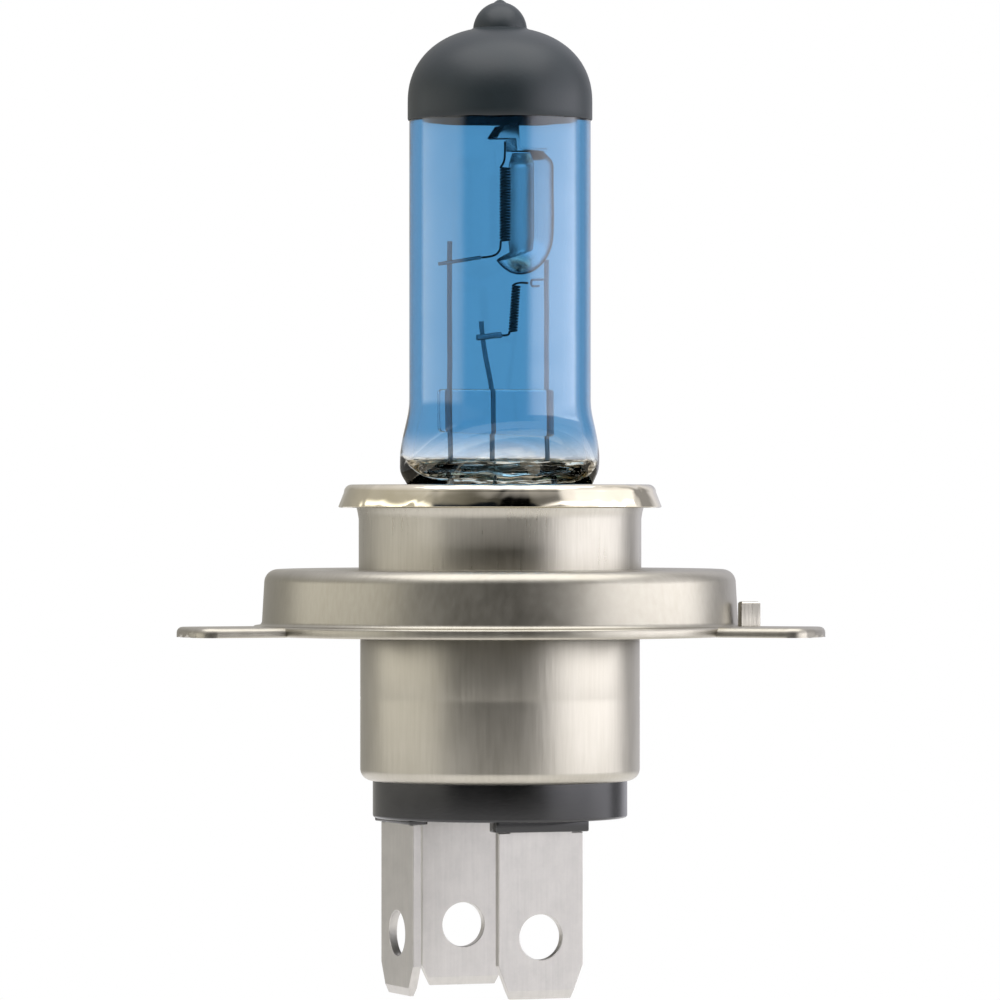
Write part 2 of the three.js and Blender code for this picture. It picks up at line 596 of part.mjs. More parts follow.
const hookTipX = COMMON_POST_X - POST_RADIUS - FIT - HOOK_REACH;
addPiece('main_filament_hook', wire([
  [COMMON_POST_X - POST_RADIUS - 2 * FIT, 0, HOOK_Z + FIT],
  [hookTipX + HOOK_BEND, 0, HOOK_Z],
  [hookTipX, 0, HOOK_Z - HOOK_DROP / 2],
  [hookTipX + HOOK_BEND, 0, HOOK_Z - HOOK_DROP],
  [hookTipX + HOOK_RETURN, 0, HOOK_Z - HOOK_DROP + FIT],
], HOOK_WIRE_RADIUS, { sides: 6 }), LEAD_METAL);

addPiece('main_beam_filament', coil({
  bottom: [MAIN_COIL_BOTTOM_X, MAIN_COIL_BOTTOM_Z],
  top: [MAIN_COIL_TOP_X, MAIN_COIL_TOP_Z],
  radius: MAIN_COIL_RADIUS,
  turns: MAIN_COIL_TURNS,
  wireRadius: FILAMENT_WIRE_RADIUS,
  firstTail: [
    [clampX + CLAMP_HALF_LENGTH + FILAMENT_WIRE_RADIUS + FIT, clampY, CLAMP_Z + CLAMP_RISE],
    [MAIN_COIL_BOTTOM_X - MAIN_COIL_RADIUS - LEG_BEND / 2, clampY / 3, MAIN_COIL_BOTTOM_Z - MAIN_LEG_HEIGHT],
  ],
  lastTail: [
    [MAIN_COIL_TOP_X, 0, (MAIN_COIL_TOP_Z + HOOK_Z) / 2],
    [hookTipX - HOOK_WIRE_RADIUS - FILAMENT_WIRE_RADIUS - FIT, 0, HOOK_Z - HOOK_DROP / 2],
  ],
}), TUNGSTEN);

// ---- Collar, sleeve and pinch holder -------------------------------------------------------------------

function bulbCollar() {
  const hole = pressedHalfWidth(COLLAR_TOP_Z) + COLLAR_HOLE_GAP;
  const shoulder = SLEEVE_RADIUS + COLLAR_OVERHANG;
  const round = COLLAR_SHOULDER_RADIUS;
  const roundZ = COLLAR_TOP_Z - round;
  const inner = round - SHEET;
  return turned([
    [hole, COLLAR_TOP_Z - SHEET],
    ...arc(shoulder - round, roundZ, inner, inner, 90, 0, 2),
    [shoulder + COLLAR_FLARE - SHEET, COLLAR_SKIRT_Z],
    [shoulder + COLLAR_FLARE, COLLAR_SKIRT_Z],
    ...arc(shoulder - round, roundZ, round, round, 0, 90, 4),
    [hole, COLLAR_TOP_Z],
  ], { closed: true });
}

function adjustingSleeve() {
  const top = COLLAR_TOP_Z - SHEET - FIT;
  const bore = SLEEVE_RADIUS - SHEET;
  return turned([
    [bore, SLEEVE_BOTTOM_Z],
    [SLEEVE_RADIUS, SLEEVE_BOTTOM_Z],
    [SLEEVE_RADIUS, top],
    [bore, top],
  ], { closed: true });
}

function pinchHolder() {
  const rim = NECK_RADIUS;
  const discTop = HOLDER_DISC_Z + SHEET;
  const cup = turned([
    [0, HOLDER_DISC_Z],
    [rim, HOLDER_DISC_Z],
    [rim, discTop + HOLDER_RIM_HEIGHT],
    [rim - SHEET, discTop + HOLDER_RIM_HEIGHT],
    [rim - SHEET, discTop],
    [0, discTop],
  ]);
  const slotX = PINCH_HALF_WIDTH + FIT;
  const slotY = PINCH_THICKNESS / 2 + FIT;
  const tongue = block(
    [-HOLDER_TONGUE_WIDTH / 2, -slotY - SHEET, HOLDER_DISC_Z],
    [HOLDER_TONGUE_WIDTH / 2, slotY + SHEET, discTop + HOLDER_TONGUE_LENGTH],
  );
  const slot = block(
    [-slotX, -slotY, HOLDER_DISC_Z - OVERRUN],
    [slotX, slotY, discTop + HOLDER_TONGUE_LENGTH + OVERRUN],
  );
  return carve([cup, tongue], [slot]);
}

addPiece('bulb_collar', bulbCollar(), BRIGHT_NICKEL);
addPiece('adjusting_sleeve', adjustingSleeve(), SATIN_NICKEL);
addPiece('pinch_holder', pinchHolder(), SATIN_NICKEL);

// ---- Focus ring ----------------------------------------------------------------------------------------

// One lug in plan, pointing along +X, with a tip on a circle round the bulb's axis.
function lugBlank() {
  const half = LUG_WIDTH / 2;
  const shoulder = Math.sqrt(LUG_TIP_RADIUS ** 2 - half ** 2) - LUG_CORNER_RADIUS;
  const root = RING_RADIUS - RING_SHEET / 2;
  const tipHalf = half - LUG_CORNER_RADIUS;
  const tipX = Math.sqrt(LUG_TIP_RADIUS ** 2 - tipHalf ** 2);
  const shape = new THREE.Shape();
  shape.moveTo(root, -half);
  shape.lineTo(shoulder, -half);
  shape.quadraticCurveTo(tipX, -half, tipX, -tipHalf);
  shape.quadraticCurveTo(LUG_TIP_RADIUS * 2 - tipX, 0, tipX, tipHalf);
  shape.quadraticCurveTo(tipX, half, shoulder, half);
  shape.lineTo(root, half);
  const lug = new THREE.ExtrudeGeometry(shape, {
    depth: RING_SHEET,
    bevelEnabled: false,
    curveSegments: 5,
  });
  return lug.translate(0, 0, -RING_SHEET);
}

function focusRing() {
  const wallTop = RING_RADIUS - RING_DRAFT;
  const corner = RING_CORNER_RADIUS;
  const cornerInner = corner - RING_SHEET;
  const neck = SLEEVE_RADIUS + FIT;
  const underside = RING_HEIGHT - RING_SHEET;
  const flange = RING_RADIUS + FLANGE_WIDTH;
  const cup = turned([
    [neck, RING_HEIGHT - RING_NECK_DEPTH],
    [neck + RING_SHEET, RING_HEIGHT - RING_NECK_DEPTH],
    [neck + RING_SHEET, underside],
    ...arc(wallTop - corner, RING_HEIGHT - corner, cornerInner, cornerInner, 90, 0, 2),
    [RING_RADIUS - RING_SHEET, -RING_SHEET],
    [flange, -RING_SHEET],
    [flange, 0],
    ...arc(RING_RADIUS + RING_FILLET, RING_FILLET, RING_FILLET, RING_FILLET, 270, 180, 2),
    ...arc(wallTop - corner, RING_HEIGHT - corner, corner, corner, 0, 90, 4),
    [neck, RING_HEIGHT],
  ], { closed: true });
  const lugs = LUG_ANGLES.map((angle) => lugBlank().rotateZ(degrees(angle)));
  // The key is a strip of the lug's edge, bent up beside the cup.
  const key = block(
    [-KEY_LENGTH / 2, -RING_SHEET / 2, -RING_SHEET / 2],
    [KEY_LENGTH / 2, RING_SHEET / 2, KEY_HEIGHT],
  );
  key.rotateZ(degrees(KEY_TURN));
  key.translate(RING_RADIUS + KEY_GAP + KEY_LENGTH / 2, (LUG_WIDTH - RING_SHEET) / 2, 0);
  key.rotateZ(degrees(KEY_LUG_ANGLE));
  return carve([cup, ...lugs, key]);
}

addPiece('focus_ring', focusRing(), SATIN_NICKEL);

// ---- Base shell, insulator and contact tabs ------------------------------------------------------------

function baseShell() {
  const lip = SHELL_RADIUS - SHELL_LIP_DEPTH;
  const round = SHELL_LIP_DEPTH - 0.03;
  const roundX = SHELL_RADIUS - round;
  const roundZ = SHELL_BOTTOM_Z + round;
  const inner = round - SHEET;
  const neckTop = SHELL_SHOULDER_Z + SHELL_NECK_LENGTH;
  return turned([
    [lip, SHELL_BOTTOM_Z],
    ...arc(roundX, roundZ, round, round, -90, 0, 4),
    [SHELL_RADIUS, SHELL_SHOULDER_Z],
    [NECK_RADIUS, SHELL_SHOULDER_Z + FIT],
    [NECK_RADIUS, neckTop],
    [NECK_RADIUS - SHEET, neckTop],
    [NECK_RADIUS - SHEET, SHELL_SHOULDER_Z - SHEET],
    [SHELL_RADIUS - SHEET, SHELL_SHOULDER_Z - 2 * SHEET],
    ...arc(roundX, roundZ, inner, inner, 0, -90, 3),
    [lip, SHELL_BOTTOM_Z + SHEET],
  ], { closed: true });
}

const TABS = [
  { name: 'contact_tab_dipped', angle: 180, taper: [1.4, 2.7] },
  { name: 'contact_tab_main', angle: 270, taper: [1.15, 3.0] },
  { name: 'contact_tab_ground', angle: 90, taper: [0.9, 1.9] },
];

function insulatorBase() {
  const shoulder = SHELL_BOTTOM_Z + SHEET + FIT;
  const inside = SHELL_RADIUS - SHEET - FIT;
  const body = turned([
    [0, INSULATOR_BOTTOM_Z],
    [INSULATOR_RADIUS - INSULATOR_EDGE_CHAMFER, INSULATOR_BOTTOM_Z],
    [INSULATOR_RADIUS, INSULATOR_BOTTOM_Z + INSULATOR_EDGE_CHAMFER],
    [INSULATOR_RADIUS, shoulder],
    [INSULATOR_RADIUS + FIT, shoulder + FIT],
    [inside, shoulder + inside - INSULATOR_RADIUS],
    [inside, INSULATOR_TOP_Z],
    [0, INSULATOR_TOP_Z],
  ]);
  const bossHalf = TAB_WIDTH / 2 + BOSS_WALL;
  const slotHalf = TAB_SHANK_WIDTH / 2 + FIT;
  const slotDepth = TAB_SHANK_THICKNESS / 2 + FIT;
  const bosses = TABS.map(({ angle }) => block(
    [TAB_RADIUS - BOSS_THICKNESS / 2, -bossHalf, INSULATOR_BOTTOM_Z - BOSS_HEIGHT],
    [TAB_RADIUS + BOSS_THICKNESS / 2, bossHalf, INSULATOR_BOTTOM_Z + OVERRUN],
  ).rotateZ(degrees(angle)));
  const slots = TABS.map(({ angle }) => block(
    [TAB_RADIUS - slotDepth, -slotHalf, TAB_SHOULDER_Z - OVERRUN],
    [TAB_RADIUS + slotDepth, slotHalf, INSULATOR_TOP_Z + OVERRUN],
  ).rotateZ(degrees(angle)));
  return carve([body, ...bosses], slots);
}

// One blade in the plane x = TAB_RADIUS, before it is turned to its place round the axis. Its
// shoulders stand on the insulator's boss and its shank runs on through the slot.
function contactTab({ angle, taper: [taperWidth, taperHeight] }) {
  const half = TAB_WIDTH / 2;
  const outline = new THREE.Shape([
    new THREE.Vector2(-half, TAB_SHOULDER_Z),
    new THREE.Vector2(-half, TAB_END_Z + taperHeight),
    new THREE.Vector2(taperWidth - half, TAB_END_Z),
    new THREE.Vector2(half - taperWidth, TAB_END_Z),
    new THREE.Vector2(half, TAB_END_Z + taperHeight),
    new THREE.Vector2(half, TAB_SHOULDER_Z),
  ]);
  const hole = new THREE.Path();
  hole.absarc(0, TAB_HOLE_Z, TAB_HOLE_RADIUS, 0, 2 * Math.PI, true);
  outline.holes.push(hole);
  const blade = new THREE.ExtrudeGeometry(outline, {
    depth: TAB_THICKNESS,
    bevelEnabled: false,
    curveSegments: 12,
  });
  blade.rotateX(Math.PI / 2).translate(0, TAB_THICKNESS / 2, 0);
  // A wedge off each face thins the blade's end so that it leads into the plug.
  const wedges = [1, -1].map((side) => {
    const face = (side * TAB_THICKNESS) / 2;
    const wedge = new THREE.Shape([
      new THREE.Vector2(face, TAB_END_Z + TAB_BEVEL_HEIGHT),
      new THREE.Vector2(face - side * TAB_BEVEL_DEPTH, TAB_END_Z),
      new THREE.Vector2(face - side * TAB_BEVEL_DEPTH, TAB_END_Z - OVERRUN),
      new THREE.Vector2(face + side, TAB_END_Z - OVERRUN),
      new THREE.Vector2(face + side, TAB_END_Z + TAB_BEVEL_HEIGHT),
    ]);
    const depth = TAB_WIDTH + 2 * OVERRUN;
    const cutter = new THREE.ExtrudeGeometry(wedge, { depth, bevelEnabled: false });
    return cutter.translate(0, 0, -depth / 2).rotateX(Math.PI / 2).rotateZ(Math.PI / 2);
  });
  const shank = block(
    [-TAB_SHANK_WIDTH / 2, -TAB_SHANK_THICKNESS / 2, TAB_SHOULDER_Z - OVERRUN],
    [TAB_SHANK_WIDTH / 2, TAB_SHANK_THICKNESS / 2, TAB_TOP_Z],
  );
  const geometry = carve([blade, shank], wedges);
  return geometry.rotateZ(Math.PI / 2).translate(TAB_RADIUS, 0, 0).rotateZ(degrees(angle));
}

addPiece('base_shell', baseShell(), SATIN_NICKEL);
addPiece('insulator_base', insulatorBase(), BLACK_PLASTIC);
for (const tab of TABS) addPiece(tab.name, contactTab(tab), TINNED_BRASS);

// The three outer leads, from the foils down to the inner faces of the tabs.
const leadTopZ = FOIL_BOTTOM_Z - FIT;
const leadEndZ = (TAB_TOP_Z + INSULATOR_TOP_Z) / 2;
const leadEndRadius = TAB_RADIUS - TAB_SHANK_THICKNESS / 2 - OUTER_LEAD_RADIUS - FIT;

function outerLead(x, angle) {
  const endX = leadEndRadius * Math.cos(degrees(angle));
  const endY = leadEndRadius * Math.sin(degrees(angle));
  return wire([
    [x, 0, leadTopZ],
    [x, 0, (leadTopZ + PINCH_BOTTOM_Z) / 2],
    [x, 0, PINCH_BOTTOM_Z - FIT],
    [(2 * x + endX) / 3, endY / 4, PINCH_BOTTOM_Z - OUTER_LEAD_DROP],
    [(x + 3 * endX) / 4, (3 * endY) / 4, PINCH_BOTTOM_Z - 2 * OUTER_LEAD_DROP],
    [endX, endY, leadEndZ + OUTER_LEAD_STRAIGHT],
    [endX, endY, leadEndZ],
  ], OUTER_LEAD_RADIUS, { steps: 20 });
}

addPiece('outer_lead_dipped', outerLead(DIPPED_POST_X, TABS[0].angle), LEAD_METAL);
addPiece('outer_lead_main', outerLead(MAIN_POST_X, TABS[1].angle), LEAD_METAL);
addPiece('outer_lead_common', outerLead(COMMON_POST_X, TABS[2].angle), LEAD_METAL);

export default bulb;
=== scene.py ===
import math

import bmesh
import bpy
from mathutils import Matrix, Vector, noise


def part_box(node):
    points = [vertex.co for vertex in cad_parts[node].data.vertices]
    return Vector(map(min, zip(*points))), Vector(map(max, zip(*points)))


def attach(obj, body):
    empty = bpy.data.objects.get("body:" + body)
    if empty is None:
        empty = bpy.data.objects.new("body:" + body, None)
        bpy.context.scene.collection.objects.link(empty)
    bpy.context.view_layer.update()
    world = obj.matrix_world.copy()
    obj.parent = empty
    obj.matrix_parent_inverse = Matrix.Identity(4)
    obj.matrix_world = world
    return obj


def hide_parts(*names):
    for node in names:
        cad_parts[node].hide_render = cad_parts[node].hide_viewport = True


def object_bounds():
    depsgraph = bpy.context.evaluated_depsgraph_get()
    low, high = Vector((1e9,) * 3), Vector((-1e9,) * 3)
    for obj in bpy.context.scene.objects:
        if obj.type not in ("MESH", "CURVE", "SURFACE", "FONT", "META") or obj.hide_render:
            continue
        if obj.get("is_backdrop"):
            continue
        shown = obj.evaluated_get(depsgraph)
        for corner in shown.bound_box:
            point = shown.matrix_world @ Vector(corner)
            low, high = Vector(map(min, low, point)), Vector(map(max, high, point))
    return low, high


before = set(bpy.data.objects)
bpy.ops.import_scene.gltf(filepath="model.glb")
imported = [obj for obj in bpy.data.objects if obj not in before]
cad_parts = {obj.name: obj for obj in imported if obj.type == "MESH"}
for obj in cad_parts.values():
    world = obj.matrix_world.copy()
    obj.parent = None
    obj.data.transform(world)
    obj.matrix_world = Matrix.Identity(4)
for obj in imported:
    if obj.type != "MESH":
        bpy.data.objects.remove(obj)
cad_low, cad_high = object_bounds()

MM = 0.001
body = "root"


# Camera. It looks at the bulb level with the collar from far off, as a product shot does,
# with the reference lug turned a little towards it. The object is never moved for it.
camera_azimuth = math.radians(-21.5)
camera_distance = 600 * MM
aim_height = 11.3 * MM
camera = bpy.data.objects.new("camera", bpy.data.cameras.new("camera"))
bpy.context.scene.collection.objects.link(camera)
bpy.context.scene.camera = camera
camera.data.sensor_width = 36
camera.data.lens = 239
camera.data.clip_start = 0.05
toward_camera = Vector((math.sin(camera_azimuth), -math.cos(camera_azimuth), 0))
camera_right = Vector((math.cos(camera_azimuth), math.sin(camera_azimuth), 0))
camera.location = toward_camera * camera_distance + Vector((0, 0, aim_height))
camera.rotation_mode = "QUATERNION"
camera.rotation_quaternion = (-toward_camera).to_track_quat("-Z", "Y")


# Studio. The bulb hangs in a white tent. What its metal mirrors changes round the tent: a bright
# wall at the right, a softer one at the left, and the unlit room in front, behind the camera.
def linear(hex_colour):
    """An sRGB hex colour as a linear red, green, blue, alpha tuple."""
    parts = [int(hex_colour[i:i + 2], 16) / 255 for i in (1, 3, 5)]
    return tuple(c / 12.92 if c <= 0.04045 else ((c + 0.055) / 1.055) ** 2.4 for c in parts) + (1,)


def add_node(tree, kind, settings=None, links=None):
    """Adds a node; settings are attributes or socket values, links are socket: source socket."""
    made = tree.nodes.new(kind)
    for name, value in (settings or {}).items():
        if isinstance(name, str) and hasattr(made, name):
            setattr(made, name, value)
        else:
            made.inputs[name].default_value = value
    for name, source in (links or {}).items():
        tree.links.new(source, made.inputs[name])
    return made


# One large soft box hangs almost overhead, a little to the right of the camera.
soft_box_turn, soft_box_lift, soft_box_distance = math.radians(10), math.radians(76), 0.60
soft_box_light = bpy.data.lights.new("soft_box_top", "AREA")
soft_box_light.shape = "RECTANGLE"
soft_box_light.size = 1.0
soft_box_light.size_y = 0.7
soft_box_light.energy = 4.5
soft_box = bpy.data.objects.new("soft_box_top", soft_box_light)
bpy.context.scene.collection.objects.link(soft_box)
flat = toward_camera * math.cos(soft_box_turn) + camera_right * math.sin(soft_box_turn)
away = flat * math.cos(soft_box_lift) + Vector((0, 0, math.sin(soft_box_lift)))
soft_box.location = away * soft_box_distance + Vector((0, 0, aim_height))
soft_box.rotation_mode = "QUATERNION"
soft_box.rotation_quaternion = away.to_track_quat("Z", "Y")

world = bpy.data.worlds.new("studio")
bpy.context.scene.world = world
world.use_nodes = True
sky = world.node_tree
sky.nodes.clear()
direction = add_node(sky, "ShaderNodeTexCoord").outputs["Generated"]
turned_to_camera = add_node(sky, "ShaderNodeVectorRotate", {
    "rotation_type": "Z_AXIS", "Angle": math.pi / 2 - camera_azimuth}, {"Vector": direction})
parts = add_node(sky, "ShaderNodeSeparateXYZ", links={"Vector": turned_to_camera.outputs["Vector"]})
azimuth = add_node(sky, "ShaderNodeMath", {"operation": "ARCTAN2"},
                   {0: parts.outputs["Y"], 1: parts.outputs["X"]})
share = add_node(sky, "ShaderNodeMapRange", {"From Min": -math.pi, "From Max": math.pi},
                 {"Value": azimuth.outputs["Value"]})
# Azimuth from the camera in degrees, and the tent's brightness there as a share of its brightest.
tent_brightest = 1.9
tent = [(-180, 0.30), (-150, 0.22), (-112, 0.33), (-58, 0.38), (-40, 0.19), (-20, 0.08), (0, 0.03), (5, 0.0),
        (18, 0.0), (23, 0.06), (38, 0.14), (50, 0.70), (62, 0.93), (114, 0.93), (125, 0.22), (138, 0.22),
        (150, 0.55), (180, 0.30)]
warm_white = Vector(linear("#FFFCF5")[:3])
cool_white = Vector(linear("#F8F7FF")[:3])
# Two lamps shine through the tent above the bulb's base; they make the long streaks on the glass.
lamps = [(-120, 0), (-112, 0.55), (-90, 0.50), (-58, 0.42), (-40, 0), (33, 0), (43, 0.85), (60, 1),
         (108, 1), (115, 0)]
lamp_strength = 2.7


def round_the_bulb(stops, share_of_turn):
    """A ramp round the horizon from (azimuth, brightness) stops; the right-hand side is cooler."""
    node = add_node(sky, "ShaderNodeValToRGB", links={"Fac": share_of_turn})
    while len(node.color_ramp.elements) < len(stops):
        node.color_ramp.elements.new(0.5)
    for stop, (angle, brightness) in zip(node.color_ramp.elements, stops):
        stop.position = (angle + 180) / 360
        stop.color = (*((cool_white if angle > 30 else warm_white) * brightness), 1)
    return node.outputs["Color"]


lamp_bottom = add_node(sky, "ShaderNodeMapRange", {
    "interpolation_type": "SMOOTHSTEP", "From Min": -0.015, "From Max": 0.03}, {"Value": parts.outputs["Z"]})
lamp_top = add_node(sky, "ShaderNodeMapRange", {
    "interpolation_type": "SMOOTHSTEP", "From Min": 0.14, "From Max": 0.02, "To Max": lamp_strength},
    {"Value": parts.outputs["Z"]})
lamp_height = add_node(sky, "ShaderNodeMath", {"operation": "MULTIPLY"},
                       {0: lamp_bottom.outputs["Result"], 1: lamp_top.outputs["Result"]})
lamp_light = add_node(sky, "ShaderNodeVectorMath", {"operation": "SCALE"}, {
    0: round_the_bulb(lamps, share.outputs["Result"]), "Scale": lamp_height.outputs["Value"]})
walls = add_node(sky, "ShaderNodeVectorMath", {"operation": "ADD"}, {
    0: round_the_bulb(tent, share.outputs["Result"]), 1: lamp_light.outputs["Vector"]})
# The camera and its dark stand fill the tent's opening, level with the bulb: azimuth and shade.
opening = [(-50, 0), (-42, 0.95), (26, 0.95), (32, 0)]
level = add_node(sky, "ShaderNodeMath", {"operation": "ABSOLUTE"}, {0: parts.outputs["Z"]})
stand = add_node(sky, "ShaderNodeMapRange", {
    "interpolation_type": "SMOOTHSTEP", "From Min": 0.16, "From Max": 0.07, "To Max": -1.0},
    {"Value": level.outputs["Value"]})
shade = add_node(sky, "ShaderNodeVectorMath", {"operation": "SCALE"}, {
    0: round_the_bulb(opening, share.outputs["Result"]), "Scale": stand.outputs["Result"]})
room = add_node(sky, "ShaderNodeVectorMath", {"operation": "MULTIPLY_ADD"}, {
    0: walls.outputs["Vector"], 1: shade.outputs["Vector"], 2: walls.outputs["Vector"]})
# Overhead the tent is bright all round, and below the bulb it is the pale floor.
overhead = add_node(sky, "ShaderNodeMapRange", {"From Min": 0.25, "From Max": 0.8},
                    {"Value": parts.outputs["Z"]})
overhead_brightness = 0.6
lit = add_node(sky, "ShaderNodeMix", {"data_type": "RGBA", 7: (*(cool_white * overhead_brightness), 1)},
               {0: overhead.outputs["Result"], 6: room.outputs["Vector"]})
# Seen directly or through the glass, everything behind the bulb is an even white.
rays = add_node(sky, "ShaderNodeLightPath").outputs
seen_white = add_node(sky, "ShaderNodeMath", {"operation": "MAXIMUM"},
                      {0: rays["Is Camera Ray"], 1: rays["Is Transmission Ray"]}).outputs["Value"]
backdrop_white = (*(Vector((1, 1, 1)) / tent_brightest), 1)
sky_colour = add_node(sky, "ShaderNodeMix", {"data_type": "RGBA", 7: backdrop_white},
                      {0: seen_white, 6: lit.outputs[2]})
background = add_node(sky, "ShaderNodeBackground", {"Strength": tent_brightest},
                      {"Color": sky_colour.outputs[2]})
add_node(sky, "ShaderNodeOutputWorld", links={"Surface": background.outputs["Background"]})
bpy.context.scene.view_settings.view_transform = "Standard"


# Floor. A round sheet of matt white card, well below the bulb, which is held up by its lugs.
# Its paper grain is too fine to see from the camera, so it shows as an even, dull white.
floor_radius = 0.45
floor_drop = 60 * MM


def new_material(name, settings):
    """A material, its node tree, its shader with the given settings, and its object-space position."""
    material = bpy.data.materials.new(name)
    material.use_nodes = True
    tree = material.node_tree
    tree.nodes.clear()
    shader = add_node(tree, "ShaderNodeBsdfPrincipled", settings)
    add_node(tree, "ShaderNodeOutputMaterial", links={"Surface": shader.outputs["BSDF"]})
    place = add_node(tree, "ShaderNodeTexCoord").outputs["Object"]
    return material, tree, shader, place


floor_mesh = bpy.data.meshes.new("floor")
floor_shape = bmesh.new()
bmesh.ops.create_circle(floor_shape, cap_ends=True, segments=128, radius=floor_radius)
floor_shape.to_mesh(floor_mesh)
floor_shape.free()
floor = bpy.data.objects.new("floor", floor_mesh)
bpy.context.scene.collection.objects.link(floor)
floor.location.z = cad_low.z - floor_drop
card = new_material("white_card", {"Base Color": linear("#F4F3F0"), "Roughness": 0.9})[0]
floor_mesh.materials.append(card)
floor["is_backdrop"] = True


# Glass envelope. A tube of coated quartz, drawn to a dome with the stub of its exhaust tube, and
# pressed flat and wider at the bottom while hot. A blue filter is fired on and fades out below.
glass_radius = 8.2
glass_wall = 1.15
dome_base, dome_height, fullness = 47.2, 6.7, 2.22
pip_radius, pip_height = 2.35, 2.5
pinch_top, pinch_bottom, pinch_half_width, pinch_half_thickness = 10.0, 2.0, 7.8, 1.9
widest_height, widest_half_width, flare_top, press_top = 14.4, 9.45, 20.3, 18.6
cavity_floor, floor_round = 13.9, 1.4
tube_middle, wall_steps = 35.0, 30


def add_mesh(name, shape, sharp_angle=35):
    """Turns a bmesh into a smooth-shaded piece that keeps its sharp edges."""
    bmesh.ops.remove_doubles(shape, verts=shape.verts, dist=1e-7)
    bmesh.ops.recalc_face_normals(shape, faces=shape.faces)
    mesh = bpy.data.meshes.new(name)
    shape.to_mesh(mesh)
    shape.free()
    mesh.shade_smooth()
    mesh.set_sharp_from_angle(angle=math.radians(sharp_angle))
    piece = bpy.data.objects.new(name, mesh)
    bpy.context.scene.collection.objects.link(piece)
    return piece


def arc(radius, height, across, up, start, stop, steps):
    """Points of an elliptical arc round (radius, height), from one angle to another in degrees."""
    points = []
    for i in range(steps + 1):
        angle = math.radians(start + (stop - start) * i / steps)
        points.append((radius + across * math.cos(angle), height + up * math.sin(angle)))
    return points


def turn_outline(outline, segments=160, closed=False, x=0.0, flare=None):
    """Turns a (radius, height) outline in mm round the bulb's axis; returns a bmesh in metres."""
    shape = bmesh.new()
    rings = []
    for radius, height in outline:
        if radius < 1e-6:
            rings.append([shape.verts.new((x * MM, 0, height * MM))] * segments)
            continue
        ring = []
        for i in range(segments):
            angle = 2 * math.pi * i / segments
            wide, deep = flare(height) if flare else (1, 1)
            ring.append(shape.verts.new((
                (x + radius * math.cos(angle) * wide) * MM,
                radius * math.sin(angle) * deep * MM,
                height * MM,
            )))
        rings.append(ring)
    if closed:
        rings.append(rings[0])
    for lower, upper in zip(rings, rings[1:]):
        for i in range(segments):
            j = (i + 1) % segments
            corners = list(dict.fromkeys((lower[i], lower[j], upper[j], upper[i])))
            if len(corners) > 2:
                shape.faces.new(corners)
    return shape


def smooth_step(value, low, high):
    """Rises smoothly from 0 at the low value to 1 at the high one."""
    share = min(1, max(0, (value - low) / (high - low)))
    return share * share * (3 - 2 * share)


def dome_outline(offset):
    """The dome and the pip, a given distance outside the bare glass, ending on the axis."""
    radius, height, pip = glass_radius + offset, dome_height + offset, pip_radius + offset
    meeting = math.degrees(math.acos((pip / radius) ** (fullness / 2)))
    dome = [(radius * (across / radius) ** (2 / fullness),
             dome_base + height * (up / height) ** (2 / fullness))
            for across, up in arc(0, 0, radius, height, 0, meeting - 1, 30)]
    pip_base = dome[-1][1]
    return (
        dome
        + arc(0, pip_base - 0.15, pip * 0.98, pip_height + 0.15, 6, 76, 14)
        + [(0.3, pip_base + pip_height + 0.14), (0, pip_base + pip_height + 0.26)]
    )


def glass_half_width(height):
    """Half the width of the pressed glass, along X, at a height."""
    if height >= widest_height:
        rise = 1 - smooth_step(height, widest_height, flare_top)
        return glass_radius + (widest_half_width - glass_radius) * rise
    fall = smooth_step(height, pinch_top, widest_height)
    return pinch_half_width + (widest_half_width - pinch_half_width) * fall


def pressed_outside(height):
    """How far the round tube is widened along X and thinned along Y at a height."""
    open_share = smooth_step(height, pinch_top, press_top)
    deep = pinch_half_thickness / glass_radius
    return glass_half_width(height) / glass_radius, deep + (1 - deep) * open_share


def pressed_inside(height):
    """The wall keeps its thickness down to the rounded floor of the cavity."""
    bore = glass_radius - glass_wall
    wide, deep = pressed_outside(height)
    rise = min(1, (height - cavity_floor) / floor_round)
    rounding = math.sqrt(1 - (1 - rise) ** 2)
    side = wide * glass_radius - glass_wall - floor_round * (1 - rounding)
    return side / bore, (deep * glass_radius - glass_wall) * max(0.25, rounding) / bore


wall_shares = [i / wall_steps for i in range(wall_steps + 1)]
outside_wall = [(glass_radius, pinch_top + share * (flare_top - pinch_top)) for share in wall_shares]
outside = turn_outline(
    [(0, pinch_top)] + outside_wall + [(glass_radius, tube_middle)] + dome_outline(0),
    flare=pressed_outside)
bore = glass_radius - glass_wall
inside_wall = [(bore, cavity_floor + (flare_top - cavity_floor) * share ** 1.5) for share in wall_shares]
inside_dome = arc(0, dome_base, bore, dome_height - glass_wall, 0, 86, 22)
cavity = turn_outline(
    [(0, cavity_floor)] + inside_wall + [(bore, tube_middle)] + inside_dome
    + [(0, dome_base + dome_height - glass_wall)], flare=pressed_inside)
